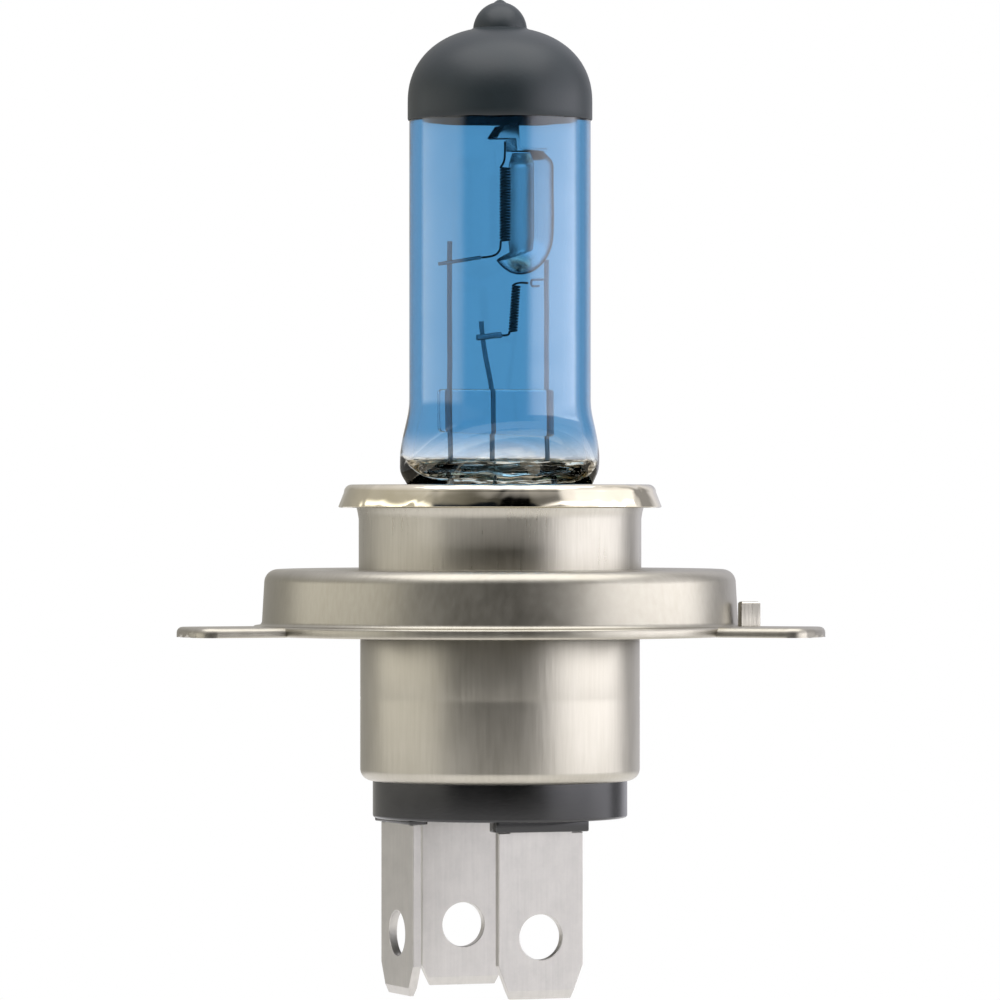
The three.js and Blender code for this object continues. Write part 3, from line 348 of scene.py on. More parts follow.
# The squeezed glass above the seal is left with shallow level folds, about 1.7 mm apart.
for part, depth in ((outside, 0.15), (cavity, 0.20)):
    for vert in part.verts:
        fold = 1 - smooth_step(vert.co.z / MM, cavity_floor - 0.5, cavity_floor + 1.2)
        out = Vector((vert.co.x * 0.2, vert.co.y, vert.co.y * 0.5)).normalized()
        vert.co += out * depth * MM * fold * noise.noise(vert.co / (1.7 * MM))
bmesh.ops.recalc_face_normals(outside, faces=outside.faces)
bmesh.ops.recalc_face_normals(cavity, faces=cavity.faces)
bmesh.ops.reverse_faces(cavity, faces=cavity.faces)
pinch_size = Matrix.Diagonal((2 * pinch_half_width * MM, 2 * pinch_half_thickness * MM,
                              (pinch_top - pinch_bottom - 0.02) * MM, 1))
pinch_place = Matrix.Translation((0, 0, (pinch_top + pinch_bottom) / 2 * MM))


def keep_mesh(shape):
    """Stores a bmesh as loose mesh data, so that it can be joined to another."""
    data = bpy.data.meshes.new("loose")
    shape.to_mesh(data)
    shape.free()
    return data


whole_glass = bmesh.new()
for face in cavity.faces:
    face.material_index = 1
for part in (outside, cavity):
    whole_glass.from_mesh(keep_mesh(part))
pinch = bmesh.new()
bmesh.ops.create_cube(pinch, size=1, matrix=pinch_place @ pinch_size)
bmesh.ops.bevel(pinch, geom=pinch.edges[:], offset=0.4 * MM, segments=3, affect="EDGES", profile=0.5)
whole_glass.from_mesh(keep_mesh(pinch))
glass_mesh = bpy.data.meshes.new("glass")
whole_glass.to_mesh(glass_mesh)
whole_glass.free()
glass_mesh.shade_smooth()
glass_mesh.set_sharp_from_angle(angle=math.radians(40))
glass = bpy.data.objects.new("glass", glass_mesh)
bpy.context.scene.collection.objects.link(glass)

# Blue-coated quartz: clear fused quartz (IOR 1.46) with a fired-on filter coat. The coat deepens at
# the edges, where it is seen aslant, and stops above the press seal, where the glass is water-clear.
quartz, tree, shader, place = new_material(
    "blue_coated_quartz", {"Transmission Weight": 1.0, "IOR": 1.46, "Roughness": 0.0})
height = add_node(tree, "ShaderNodeSeparateXYZ", links={"Vector": place}).outputs["Z"]
coat = add_node(tree, "ShaderNodeMapRange", {
    "interpolation_type": "SMOOTHSTEP", "From Min": 13.8 * MM, "From Max": 17.9 * MM}, {"Value": height})
slant = add_node(tree, "ShaderNodeLayerWeight", {"Blend": 0.5}).outputs["Facing"]
edge = add_node(tree, "ShaderNodeMapRange", {"From Min": 0.35, "From Max": 0.85}, {"Value": slant})
edge_blue = add_node(tree, "ShaderNodeMix", {
    "data_type": "RGBA", 6: linear("#4D8FBF"), 7: linear("#3677AA")}, {0: edge.outputs["Result"]})
fade = add_node(tree, "ShaderNodeMix", {"data_type": "RGBA", 6: linear("#EEF0F3")},
                {0: coat.outputs["Result"], 7: edge_blue.outputs[2]})
# Painted reflection: over the press seal the base colour is streaked cream and dark in level bands, standing
# in for the folds mirroring the inside of the cap.
flat = add_node(tree, "ShaderNodeMapping", {"Scale": (1, 1, 4.5)}, {"Vector": place})
painted_streak_noise = add_node(tree, "ShaderNodeTexNoise", {"Scale": 1 / (1.9 * MM), "Detail": 3.0},
                  {"Vector": flat.outputs["Vector"]})
dark = add_node(tree, "ShaderNodeMapRange", {"From Min": 0.50, "From Max": 0.57},
                {"Value": painted_streak_noise.outputs["Fac"]})
low = add_node(tree, "ShaderNodeMapRange", {
    "interpolation_type": "SMOOTHSTEP", "From Min": 15.4 * MM, "From Max": 14.7 * MM}, {"Value": height})
painted_cap_reflection = add_node(tree, "ShaderNodeMix", {
    "data_type": "RGBA", 6: linear("#EFE9DC"), 7: linear("#453F32")}, {0: dark.outputs["Result"]})
# Below 15 mm the painted cream-and-dark reflection replaces the coat's colour.
coat_with_painted_reflection = add_node(tree, "ShaderNodeMix", {"data_type": "RGBA"}, {
    0: low.outputs["Result"], 6: fade.outputs[2], 7: painted_cap_reflection.outputs[2]})
tree.links.new(coat_with_painted_reflection.outputs[2], shader.inputs["Base Color"])
# The tube is not perfectly round: slow waves a few millimetres long bend what is seen through it.
wave = add_node(tree, "ShaderNodeTexNoise", {"Scale": 1 / (6 * MM), "Detail": 1.0}, {"Vector": place})
ripple = add_node(tree, "ShaderNodeBump", {"Strength": 0.08, "Distance": 0.4 * MM},
                  {"Height": wave.outputs["Fac"]})
tree.links.new(ripple.outputs["Normal"], shader.inputs["Normal"])
glass_mesh.materials.append(quartz)

# The bore's wall: the same quartz without the coat.
bare, tree, shader, place = new_material("bare_fused_quartz", {
    "Base Color": linear("#FDFEFF"), "Transmission Weight": 1.0, "IOR": 1.46, "Roughness": 0.0})
wave = add_node(tree, "ShaderNodeTexNoise", {"Scale": 1 / (5 * MM), "Detail": 1.0}, {"Vector": place})
ripple = add_node(tree, "ShaderNodeBump", {"Strength": 0.1, "Distance": 0.4 * MM},
                  {"Height": wave.outputs["Fac"]})
tree.links.new(ripple.outputs["Normal"], shader.inputs["Normal"])
glass_mesh.materials.append(bare)
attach(glass, body)
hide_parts("glass_envelope")


# Black tip. Heat-proof black paint brushed or dipped over the dome, which keeps stray light from
# leaving the end of the bulb. It dries satin, a little uneven, with a slightly wavy lower edge.
paint_gap, paint_thickness, paint_edge, paint_level = 0.05, 0.1, 45.65, 46.4
paint_low, paint_high = glass_radius + paint_gap, glass_radius + paint_gap + paint_thickness
paint_inner = [(paint_low, paint_edge), (paint_low, paint_level)] + dome_outline(paint_gap)
paint_outer = [
    (glass_radius + paint_gap + paint_thickness * 0.5, paint_edge - 0.04), (paint_high, paint_edge + 0.06),
    (paint_high, paint_level)] + dome_outline(paint_gap + paint_thickness)
paint_shape = turn_outline(paint_inner[::-1] + paint_outer)
for vert in paint_shape.verts:
    low_share = 1 - smooth_step(vert.co.z / MM, paint_edge, paint_edge + 1.2)
    around = math.atan2(vert.co.y, vert.co.x)
    vert.co.z += 0.07 * MM * low_share * noise.noise(Vector((3 * math.cos(around), 3 * math.sin(around), 0)))
tip = add_mesh("black_tip", paint_shape, 50)
# Fired black paint: a cold near-black, mottled 2.5 mm apart, over a fine orange peel.
black, tree, shader, place = new_material("fired_black_paint", {})
mottle = add_node(tree, "ShaderNodeTexNoise", {"Scale": 1 / (2.5 * MM), "Detail": 4.0}, {"Vector": place})
tone = add_node(tree, "ShaderNodeMix", {
    "data_type": "RGBA", 6: linear("#081317"), 7: linear("#101E22")}, {0: mottle.outputs["Fac"]})
tree.links.new(tone.outputs[2], shader.inputs["Base Color"])
gloss = add_node(tree, "ShaderNodeMapRange", {"To Min": 0.38, "To Max": 0.48},
                 {"Value": mottle.outputs["Fac"]})
tree.links.new(gloss.outputs["Result"], shader.inputs["Roughness"])
grain = add_node(tree, "ShaderNodeTexNoise", {"Scale": 1 / (0.35 * MM), "Detail": 3.0}, {"Vector": place})
peel = add_node(tree, "ShaderNodeBump", {"Strength": 0.12, "Distance": 0.06 * MM},
                {"Height": grain.outputs["Fac"]})
tree.links.new(peel.outputs["Normal"], shader.inputs["Normal"])
tip.data.materials.append(black)
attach(tip, body)
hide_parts("black_tip_coating")


# Posts. Three molybdenum lead wires stand in the seal; the middle one leans away above the bridge.
# Drawn wire: smooth, with fine lengthwise lines, and darkened a little by the heat of sealing.
def wire(name, route, radius, smooth=True, sides=12):
    """A round wire through points in mm, as a closed mesh with flat ends."""
    curve = bpy.data.curves.new(name, "CURVE")
    curve.dimensions = "3D"
    curve.bevel_depth = radius * MM
    curve.bevel_resolution = sides // 4
    curve.use_fill_caps = True
    curve.resolution_u = 6
    spline = curve.splines.new("NURBS" if smooth and len(route) > 3 else "POLY")
    spline.points.add(len(route) - 1)
    for point, place_mm in zip(spline.points, route):
        point.co = (*(Vector(place_mm) * MM), 1)
    if spline.type == "NURBS":
        spline.order_u = 3
        spline.use_endpoint_u = True
    holder = bpy.data.objects.new(name + "_path", curve)
    mesh = bpy.data.meshes.new_from_object(holder)
    bpy.data.objects.remove(holder)
    mesh.name = name
    mesh.shade_smooth()
    mesh.set_sharp_from_angle(angle=math.radians(50))
    piece = bpy.data.objects.new(name, mesh)
    bpy.context.scene.collection.objects.link(piece)
    return piece


def worked_lines(tree, place, stretch, line_mm, detail):
    """Fine lines left in metal by a die or by rolls: line_mm apart, and long where stretch is small."""
    pull = add_node(tree, "ShaderNodeMapping", {"Scale": stretch}, {"Vector": place})
    lines = add_node(tree, "ShaderNodeTexNoise", {"Scale": 1 / (line_mm * MM), "Detail": detail},
                     {"Vector": pull.outputs["Vector"]})
    return lines.outputs["Fac"]


def box_mm(node):
    """A CAD node's lowest and highest corners, in mm."""
    low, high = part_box(node)
    return low / MM, high / MM


moly, tree, shader, place = new_material("drawn_molybdenum_wire", {"Metallic": 1.0, "Roughness": 0.38})
lines = worked_lines(tree, place, (1, 1, 0.08), 0.12, 2.0)
shade = add_node(tree, "ShaderNodeMix", {
    "data_type": "RGBA", 6: linear("#6A757D"), 7: linear("#96A1AA")}, {0: lines})
tree.links.new(shade.outputs[2], shader.inputs["Base Color"])

post_radius = 0.23
left_low, left_high = box_mm("dipped_beam_post")
right_low, right_high = box_mm("common_post")
main_low, main_high = box_mm("main_beam_post")
left_x = (left_low.x + left_high.x) / 2
right_x = (right_low.x + right_high.x) / 2
main_x, main_top_x = main_high.x - post_radius, main_low.x + post_radius
bridge_low, bridge_high = box_mm("quartz_bridge")
post_routes = {
    "dipped_beam_post": [(left_x, 0, left_low.z), (left_x, 0, left_high.z)],
    "common_post": [(right_x, 0, right_low.z), (right_x, 0, right_high.z)],
    "main_beam_post": [
        (main_x, 0, main_low.z), (main_x, 0, bridge_low.z - 1), (main_x, 0, bridge_high.z),
        (main_x - 0.1, 0, bridge_high.z + 0.6), (main_top_x + 0.1, 0, main_high.z - 1.6),
        (main_top_x, 0, main_high.z),
    ],
}
for node_name, route in post_routes.items():
    post = wire(node_name + "_wire", route, post_radius)
    post.data.materials.append(moly)
    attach(post, body)
    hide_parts(node_name)


# Bridge. A short bar of clear quartz fused round the three posts, which holds them apart.
# Fire-polished: rounded ends and edges, with the faint waves of hand-worked glass.
bridge_height = bridge_high.z - bridge_low.z
bridge_depth = bridge_high.y - bridge_low.y
bridge_shape = bmesh.new()
bridge_width = bridge_high.x - bridge_low.x
bridge_size = Matrix.Diagonal((bridge_width * MM, bridge_depth * MM, bridge_height * MM, 1))
bridge_place = Matrix.Translation((bridge_low + bridge_high) / 2 * MM)
bmesh.ops.create_cube(bridge_shape, size=1, matrix=bridge_place @ bridge_size)
upright = [e for e in bridge_shape.edges if abs(e.verts[0].co.z - e.verts[1].co.z) > MM]
bmesh.ops.bevel(bridge_shape, geom=upright, offset=bridge_depth * 0.49 * MM, segments=10,
                affect="EDGES", profile=0.5)
level = [e for e in bridge_shape.edges
         if abs(e.verts[0].co.z - e.verts[1].co.z) < 1e-6
         and sum(abs(f.normal.z) > 0.9 for f in e.link_faces) == 1]
bmesh.ops.bevel(bridge_shape, geom=level, offset=0.35 * MM, segments=5, affect="EDGES", profile=0.5)
bridge = add_mesh("quartz_bridge_bar", bridge_shape, 60)
clear, tree, shader, place = new_material("fire_polished_quartz", {
    "Base Color": linear("#F2F7FB"), "Transmission Weight": 1.0, "IOR": 1.46, "Roughness": 0.02})
wave = add_node(tree, "ShaderNodeTexNoise", {"Scale": 1 / (3 * MM), "Detail": 1.5}, {"Vector": place})
ripple = add_node(tree, "ShaderNodeBump", {"Strength": 0.06, "Distance": 0.4 * MM},
                  {"Height": wave.outputs["Fac"]})
tree.links.new(ripple.outputs["Normal"], shader.inputs["Normal"])
bridge.data.materials.append(clear)
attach(bridge, body)
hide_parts("quartz_bridge")


# Filaments. Tungsten wire wound into close coils: the dipped-beam coil stands on the axis, in front
# of the shield, and the smaller main-beam coil stands below it. Drawn tungsten is dark grey.
tungsten, tree, shader, place = new_material("wound_tungsten", {"Metallic": 1.0, "Roughness": 0.45})
soot = add_node(tree, "ShaderNodeTexNoise", {"Scale": 1 / (0.5 * MM), "Detail": 3.0}, {"Vector": place})
shade = add_node(tree, "ShaderNodeMix", {
    "data_type": "RGBA", 6: linear("#1C1F21"), 7: linear("#3A3E41")}, {0: soot.outputs["Fac"]})
tree.links.new(shade.outputs[2], shader.inputs["Base Color"])


def coil_route(bottom, top, radius, turns, steps_per_turn=14):
    """Points of a helix between two (x, height) ends, starting on its -X side."""
    route = []
    for i in range(turns * steps_per_turn + 1):
        share = i / (turns * steps_per_turn)
        angle = 2 * math.pi * i / steps_per_turn + math.pi
        x = bottom[0] + (top[0] - bottom[0]) * share + radius * math.cos(angle)
        route.append((x, radius * math.sin(angle), bottom[1] + (top[1] - bottom[1]) * share))
    return route


cross_low, cross_high = box_mm("dipped_filament_crosswire")
dipped_low, dipped_high = box_mm("dipped_beam_filament")
coil_x, coil_radius, filament_wire = 0.5, 0.42, 0.1
coil_bottom, coil_top = 34.7, 41.4
cross_y = (cross_low.y + cross_high.y) / 2
dipped = wire("dipped_beam_coil", [
    (cross_high.x + 0.12, cross_y, dipped_low.z + 0.11), (coil_x - 1.2, cross_y * 0.6, dipped_low.z + 0.2),
    (coil_x - 0.5, 0, coil_bottom - 0.9), (coil_x - coil_radius, 0, coil_bottom - 0.35),
] + coil_route((coil_x, coil_bottom), (coil_x, coil_top), coil_radius, 25) + [
    (coil_x - 0.2, 0, coil_top + 0.3), (coil_x, 0, coil_top + 0.8), (coil_x, 0, dipped_high.z),
], filament_wire, sides=8)
main_low, main_high = box_mm("main_beam_filament")
clamp_low, clamp_high = box_mm("main_filament_clamp")
clamp_y = (clamp_low.y + clamp_high.y) / 2
main_bottom, main_top, main_radius = (1.25, 26.5), (1.6, 30.7), 0.34
main_coil = wire("main_beam_coil", [
    (clamp_high.x + 0.05, clamp_y, clamp_high.z - 0.3), (0.6, -0.2, 26.15),
    (main_bottom[0] - main_radius, 0, 26.3),
] + coil_route(main_bottom, main_top, main_radius, 16) + [
    (main_top[0], 0, main_top[1] + 0.2), (2.2, 0, 30.98), (main_high.x, 0, 30.92),
], filament_wire, sides=8)
for piece, node_name in ((dipped, "dipped_beam_filament"), (main_coil, "main_beam_filament")):
    piece.data.materials.append(tungsten)
    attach(piece, body)
    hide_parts(node_name)


# Crosswire, clamp and hook. Short wires spot-welded to the posts: the crosswire takes the dipped
# coil's lower leg, the crimped clamp and the hook take the two legs of the main coil.
crosswire = wire("crosswire", [
    (cross_low.x, cross_y, cross_low.z + 0.16), (cross_high.x, cross_y, cross_high.z - 0.16)], 0.17)
clamp = wire("crimped_clamp", [
    (clamp_low.x, clamp_y, clamp_low.z + 0.28), (clamp_low.x + 0.7, clamp_y, clamp_low.z + 0.3),
    (clamp_high.x - 0.7, clamp_y, clamp_high.z - 0.3), (clamp_high.x, clamp_y, clamp_high.z - 0.28)], 0.27)
hook_low, hook_high = box_mm("main_filament_hook")
hook = wire("hook_wire", [
    (hook_high.x, 0, hook_high.z - 0.1), (hook_low.x + 0.6, 0, hook_high.z - 0.1),
    (hook_low.x + 0.1, 0, hook_high.z - 0.14), (hook_low.x + 0.1, 0, hook_low.z + 0.14),
    (hook_low.x + 0.5, 0, hook_low.z + 0.1), (hook_high.x - 0.4, 0, hook_low.z + 0.14)], 0.11)
for piece, node_name in ((crosswire, "dipped_filament_crosswire"), (clamp, "main_filament_clamp"),
                         (hook, "main_filament_hook")):
    piece.data.materials.append(moly)
    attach(piece, body)
    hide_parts(node_name)


# Shield. A boat-shaped cup pressed from thin molybdenum sheet, open towards the reference lug, that
# screens the lower half of the reflector. Its top strip and bent flag hold the coil's upper leg.
shield_low, shield_high = box_mm("dipped_beam_shield")
shield_radius = (shield_high.y - shield_low.y) / 2
shield_x = shield_high.x - shield_radius
bowl_height, sheet = 3.8, 0.18
shoulder, mouth = shield_high.z - 1.4, 2.1
lip_height, lip_rise = 0.4, 1.7


def cut_with(piece, cutter, operation="DIFFERENCE"):
    """Joins or cuts a piece with a second one, which is then removed."""
    step = piece.modifiers.new("join", "BOOLEAN")
    step.operation = operation
    step.object = cutter
    step.solver = "EXACT"
    bpy.context.view_layer.update()
    result = bpy.data.meshes.new_from_object(piece.evaluated_get(bpy.context.evaluated_depsgraph_get()))
    piece.modifiers.clear()
    old = piece.data
    piece.data = result
    result.name = piece.name
    bpy.data.meshes.remove(old)
    bpy.data.objects.remove(cutter)


def slab(name, outline, depth, bevel=0.0):
    """A plate whose (x, z) outline in mm lies in the XZ plane, depth mm thick about y = 0."""
    shape = bmesh.new()
    near = [shape.verts.new((x * MM, -depth / 2 * MM, z * MM)) for x, z in outline]
    far = [shape.verts.new((x * MM, depth / 2 * MM, z * MM)) for x, z in outline]
    shape.faces.new(near)
    shape.faces.new(far[::-1])
    for i in range(len(outline)):
        j = (i + 1) % len(outline)
        shape.faces.new((near[j], near[i], far[i], far[j]))
    if bevel:
        bmesh.ops.bevel(shape, geom=shape.edges[:], offset=bevel * MM, segments=2, affect="EDGES",
                        profile=0.5)
    return add_mesh(name, shape)


bowl_top = shield_low.z + bowl_height
cup_outline = (
    arc(0, bowl_top, shield_radius, bowl_height, -90, 0, 16)
    + [(shield_radius, shoulder)]
    + arc(shield_radius - 0.6, shoulder, 0.6, 0.9, 0, 60, 5)[1:]
    + [(mouth, shield_high.z), (mouth - sheet, shield_high.z - 0.05)]
    + arc(shield_radius - sheet - 0.6, shoulder, 0.6, 0.8, 60, 0, 5)
    + arc(0, bowl_top, shield_radius - sheet, bowl_height - sheet, 0, -90, 16)
)
shield = add_mesh("beam_shield", turn_outline(cup_outline, segments=96, x=shield_x))
reach = shield_radius + 1
cut_with(shield, slab("cutter", [
    (shield_x - reach, shield_low.z + lip_height), (shield_x, shield_low.z + lip_height + lip_rise),
    (shield_x, shield_high.z + 1), (shield_x - reach, shield_high.z + 1)], 4 * reach))
shield.data.shade_smooth()
shield.data.set_sharp_from_angle(angle=math.radians(40))

bracket_low, bracket_high = box_mm("dipped_filament_bracket")
strip_x = coil_x + coil_radius + filament_wire + 0.1
strip_top = shield_high.z + 1.3
bracket = slab("flag_bracket", [
    (strip_x, bracket_low.z), (bracket_high.x, bracket_low.z), (bracket_high.x, bracket_low.z + 0.25),
    (strip_x + 0.45, bracket_low.z + 0.25), (strip_x + 0.25, bracket_low.z + 0.45),
    (strip_x + 0.25, bracket_high.z - 0.2), (strip_x + 0.1, bracket_high.z),
    (bracket_low.x + 0.75, bracket_high.z - 0.25), (bracket_low.x + 0.2, strip_top + 0.2),
    (bracket_low.x, strip_top - 0.1), (bracket_low.x + 0.25, strip_top - 0.2), (strip_x, strip_top - 0.1),
], bracket_high.y - bracket_low.y, bevel=0.05)

# Pressed molybdenum sheet: a cool pale metal, satin, with rolling lines 0.2 mm apart. Its colour is darkened
# where it is seen aslant: a painted dark reflection along the sheet's edges.
pressed, tree, shader, place = new_material("pressed_molybdenum_sheet", {
    "Metallic": 1.0, "Roughness": 0.25, "Specular Tint": linear("#55636C")})
lines = worked_lines(tree, place, (1, 1, 0.1), 0.2, 2.0)
shade = add_node(tree, "ShaderNodeMix", {
    "data_type": "RGBA", 6: linear("#E4E8EA"), 7: linear("#FAFBFC")}, {0: lines})
# Painted dark reflection: the colour turns dark grey-blue at grazing angles.
slant = add_node(tree, "ShaderNodeLayerWeight", {"Blend": 0.5}).outputs["Facing"]
painted_rim_shade_mask = add_node(tree, "ShaderNodeMapRange", {"From Min": 0.45, "From Max": 0.8}, {"Value": slant})
painted_rim_shade = add_node(tree, "ShaderNodeMix", {"data_type": "RGBA", 7: linear("#2E3A42")},
               {0: painted_rim_shade_mask.outputs["Result"], 6: shade.outputs[2]})
tree.links.new(painted_rim_shade.outputs[2], shader.inputs["Base Color"])
for piece, node_name in ((shield, "dipped_beam_shield"), (bracket, "dipped_filament_bracket")):
    piece.data.materials.append(pressed)
    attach(piece, body)
    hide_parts(node_name)


# Foils and outer leads. Inside the seal each post meets a thin molybdenum foil, and a nickel wire
# runs on from it to a contact blade. They are hidden in the cap and keep their plain shapes.
for node_name, material in (
        ("molybdenum_foil_dipped", pressed), ("molybdenum_foil_main", pressed),
        ("molybdenum_foil_common", pressed), ("outer_lead_dipped", moly),
        ("outer_lead_main", moly), ("outer_lead_common", moly)):
    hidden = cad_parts[node_name]
    hidden.data.materials.clear()
    hidden.data.materials.append(material)


# Collar. A lid pressed from steel strip and bright nickel plated, with a rolled shoulder and a
# short flared skirt. It is welded over the sleeve and holds the glass upright in its hole.
collar_low, collar_high = box_mm("bulb_collar")
collar_top, skirt = collar_high.z, collar_low.z
skirt_radius = collar_high.x
shoulder_radius, strip, shoulder_round = skirt_radius - 0.5, 0.5, 0.7
hole_radius = glass_half_width(collar_top) + 0.3
hole_round, hem_round = 0.25, 0.12
round_height = collar_top - shoulder_round
collar = add_mesh("collar", turn_outline(
    [(hole_radius + 0.1, collar_top - strip), (shoulder_radius - shoulder_round, collar_top - strip)]
    + arc(shoulder_radius - shoulder_round, round_height, 0.2, 0.2, 90, 0, 4)
    + arc(skirt_radius - strip / 2, skirt + hem_round, strip / 2, hem_round, 180, 360, 8)
    + arc(shoulder_radius - shoulder_round, round_height, shoulder_round, shoulder_round, 0, 90, 12)
    + arc(hole_radius + hole_round, collar_top - hole_round, hole_round, hole_round, 90, 180, 5),
    segments=192, closed=True), 50)

# Bright nickel: warm silver, polished before plating, with slow dents a few mm across that bend the
# reflections.
bright, tree, shader, place = new_material("bright_nickel_plate", {"Metallic": 1.0})
cloud = add_node(tree, "ShaderNodeTexNoise", {"Scale": 1 / (4 * MM), "Detail": 3.0}, {"Vector": place})
shade = add_node(tree, "ShaderNodeMix", {
    "data_type": "RGBA", 6: linear("#C6BDA4"), 7: linear("#E0D9C7")}, {0: cloud.outputs["Fac"]})
tree.links.new(shade.outputs[2], shader.inputs["Base Color"])
gloss = add_node(tree, "ShaderNodeMapRange", {"To Min": 0.06, "To Max": 0.14},
                 {"Value": cloud.outputs["Fac"]})
tree.links.new(gloss.outputs["Result"], shader.inputs["Roughness"])
dent = add_node(tree, "ShaderNodeTexNoise", {
    "Scale": 1 / (4.5 * MM), "Detail": 1.0, "Distortion": 1.2}, {"Vector": place})
ripple = add_node(tree, "ShaderNodeBump", {"Strength": 0.42, "Distance": 0.5 * MM},
                  {"Height": dent.outputs["Fac"]})
tree.links.new(ripple.outputs["Normal"], shader.inputs["Normal"])
collar.data.materials.append(bright)
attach(collar, body)
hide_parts("bulb_collar")


# Sleeve. A short tube of nickel-plated steel that slides in the focus ring while the maker sets the
# focus, and is then welded. Its top is flared a little under the collar.
sleeve_low, sleeve_high = box_mm("adjusting_sleeve")
sleeve_radius, strip, flare_out = sleeve_high.x, 0.5, 0.25
sleeve = add_mesh("sleeve", turn_outline([
    (sleeve_radius - strip, sleeve_low.z), (sleeve_radius, sleeve_low.z), (sleeve_radius, skirt - 1.0),
    (sleeve_radius + 0.1, skirt - 0.4), (sleeve_radius + flare_out, skirt + 0.2),
    (sleeve_radius + flare_out, sleeve_high.z), (sleeve_radius - strip, sleeve_high.z)],
    segments=192, closed=True))


def satin_nickel(name, dark, light, line_mm, stretch, rough):
    """Nickel-plated steel strip, drawn through a die: fine lines, slow clouding, worn bright spots."""
    material, tree, shader, place = new_material(name, {"Metallic": 1.0})
    lines = worked_lines(tree, place, stretch, line_mm, 3.0)
    cloud = add_node(tree, "ShaderNodeTexNoise", {"Scale": 1 / (5 * MM), "Detail": 4.0}, {"Vector": place})
    blend = add_node(tree, "ShaderNodeMix", {"Factor": 0.5}, {"A": cloud.outputs["Fac"], "B": lines})
    shade = add_node(tree, "ShaderNodeMix", {
        "data_type": "RGBA", 6: linear(dark), 7: linear(light)}, {0: blend.outputs[0]})
    tree.links.new(shade.outputs[2], shader.inputs["Base Color"])
    gloss = add_node(tree, "ShaderNodeMapRange", {"To Min": rough - 0.08, "To Max": rough + 0.08},
                     {"Value": blend.outputs[0]})
    tree.links.new(gloss.outputs["Result"], shader.inputs["Roughness"])
    scratch = add_node(tree, "ShaderNodeBump", {"Strength": 0.22, "Distance": 0.05 * MM},
                       {"Height": lines})
    tree.links.new(scratch.outputs["Normal"], shader.inputs["Normal"])
    return material


# Drawn satin nickel: the die leaves upright lines about 0.25 mm apart on the walls.
drawn_nickel = satin_nickel("drawn_satin_nickel", "#A39E91", "#CECABF", 0.25, (1, 1, 0.06), 0.29)
sleeve.data.materials.append(drawn_nickel)
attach(sleeve, body)
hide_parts("adjusting_sleeve")
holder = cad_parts["pinch_holder"]
holder.data.materials.clear()
holder.data.materials.append(bright)


# Focus ring. A shallow cup pressed from 0.9 mm steel, 43 mm across, with three lugs left on its
# flange and a small key bent up beside one of them. The lugs' upper faces seat in the lamp.
ring_low, ring_high = box_mm("focus_ring")
ring_radius, ring_sheet, draft, corner = 21.5, 0.9, 0.2, 1.2
ring_top = ring_high.z
neck, neck_depth, flange_radius = sleeve_radius + 0.05, 4.0, 22.3
edge_round, foot_round, neck_round = 0.2, 0.4, 0.35
wall_top = ring_radius - draft
underside = ring_top - ring_sheet
ring = add_mesh("ring", turn_outline(
    [(neck, ring_top - neck_depth), (neck + ring_sheet, ring_top - neck_depth),
     (neck + ring_sheet, underside)]
    + arc(wall_top - corner, ring_top - corner, corner - ring_sheet, corner - ring_sheet, 90, 0, 4)
    + [(ring_radius - ring_sheet, -ring_sheet)]
    + arc(flange_radius - edge_round, -ring_sheet + edge_round, edge_round, edge_round, -90, 0, 4)
    + arc(flange_radius - edge_round, -edge_round, edge_round, edge_round, 0, 90, 4)
    + arc(ring_radius + foot_round, foot_round, foot_round, foot_round, 270, 180, 6)
    + arc(wall_top - corner, ring_top - corner, corner, corner, 0, 90, 14)
    + arc(neck + neck_round, ring_top - neck_round, neck_round, neck_round, 90, 180, 6),
    segments=192, closed=True), 30)
lug_width, lug_corner = 8.0, 1.7
lug_tip = -ring_low.x
lug_angles = (180.0, 318.5, 41.5)


def lug_outline():
    """One lug in plan along +X: straight sides, rounded corners, and a tip on a circle round the axis."""
    half, straight = lug_width / 2, lug_tip - 0.25 - lug_corner
    start = ring_radius - 0.6
    right = [(straight + lug_corner * math.sin(a), -half + lug_corner * (1 - math.cos(a)))
             for a in (i * math.pi / 20 for i in range(11))]
    tip = [(math.sqrt(lug_tip ** 2 - y * y), y) for y in (-1.6, -0.8, 0.0, 0.8, 1.6)]
    left = [(x, -y) for x, y in right[::-1]]
    return [(start, -half)] + right + tip + left + [(start, half)]


def plan_plate(name, outline, low, high, bevel, turn, top_bevel=None):
    """A plate from an (x, y) outline in mm between two heights, rounded, and turned round the axis."""
    shape = bmesh.new()
    bottom = [shape.verts.new((x * MM, y * MM, low * MM)) for x, y in outline]
    top = [shape.verts.new((x * MM, y * MM, high * MM)) for x, y in outline]
    faces = [shape.faces.new(bottom[::-1]), shape.faces.new(top)]
    for i in range(len(outline)):
        j = (i + 1) % len(outline)
        shape.faces.new((bottom[i], bottom[j], top[j], top[i]))
    for face, rounding in zip(faces, (bevel, top_bevel or bevel)):
        bmesh.ops.bevel(shape, geom=list(face.edges), offset=rounding * MM, segments=4, affect="EDGES",
                        profile=0.5)
    bmesh.ops.rotate(shape, verts=shape.verts, matrix=Matrix.Rotation(math.radians(turn), 3, "Z"))
    return add_mesh(name, shape)


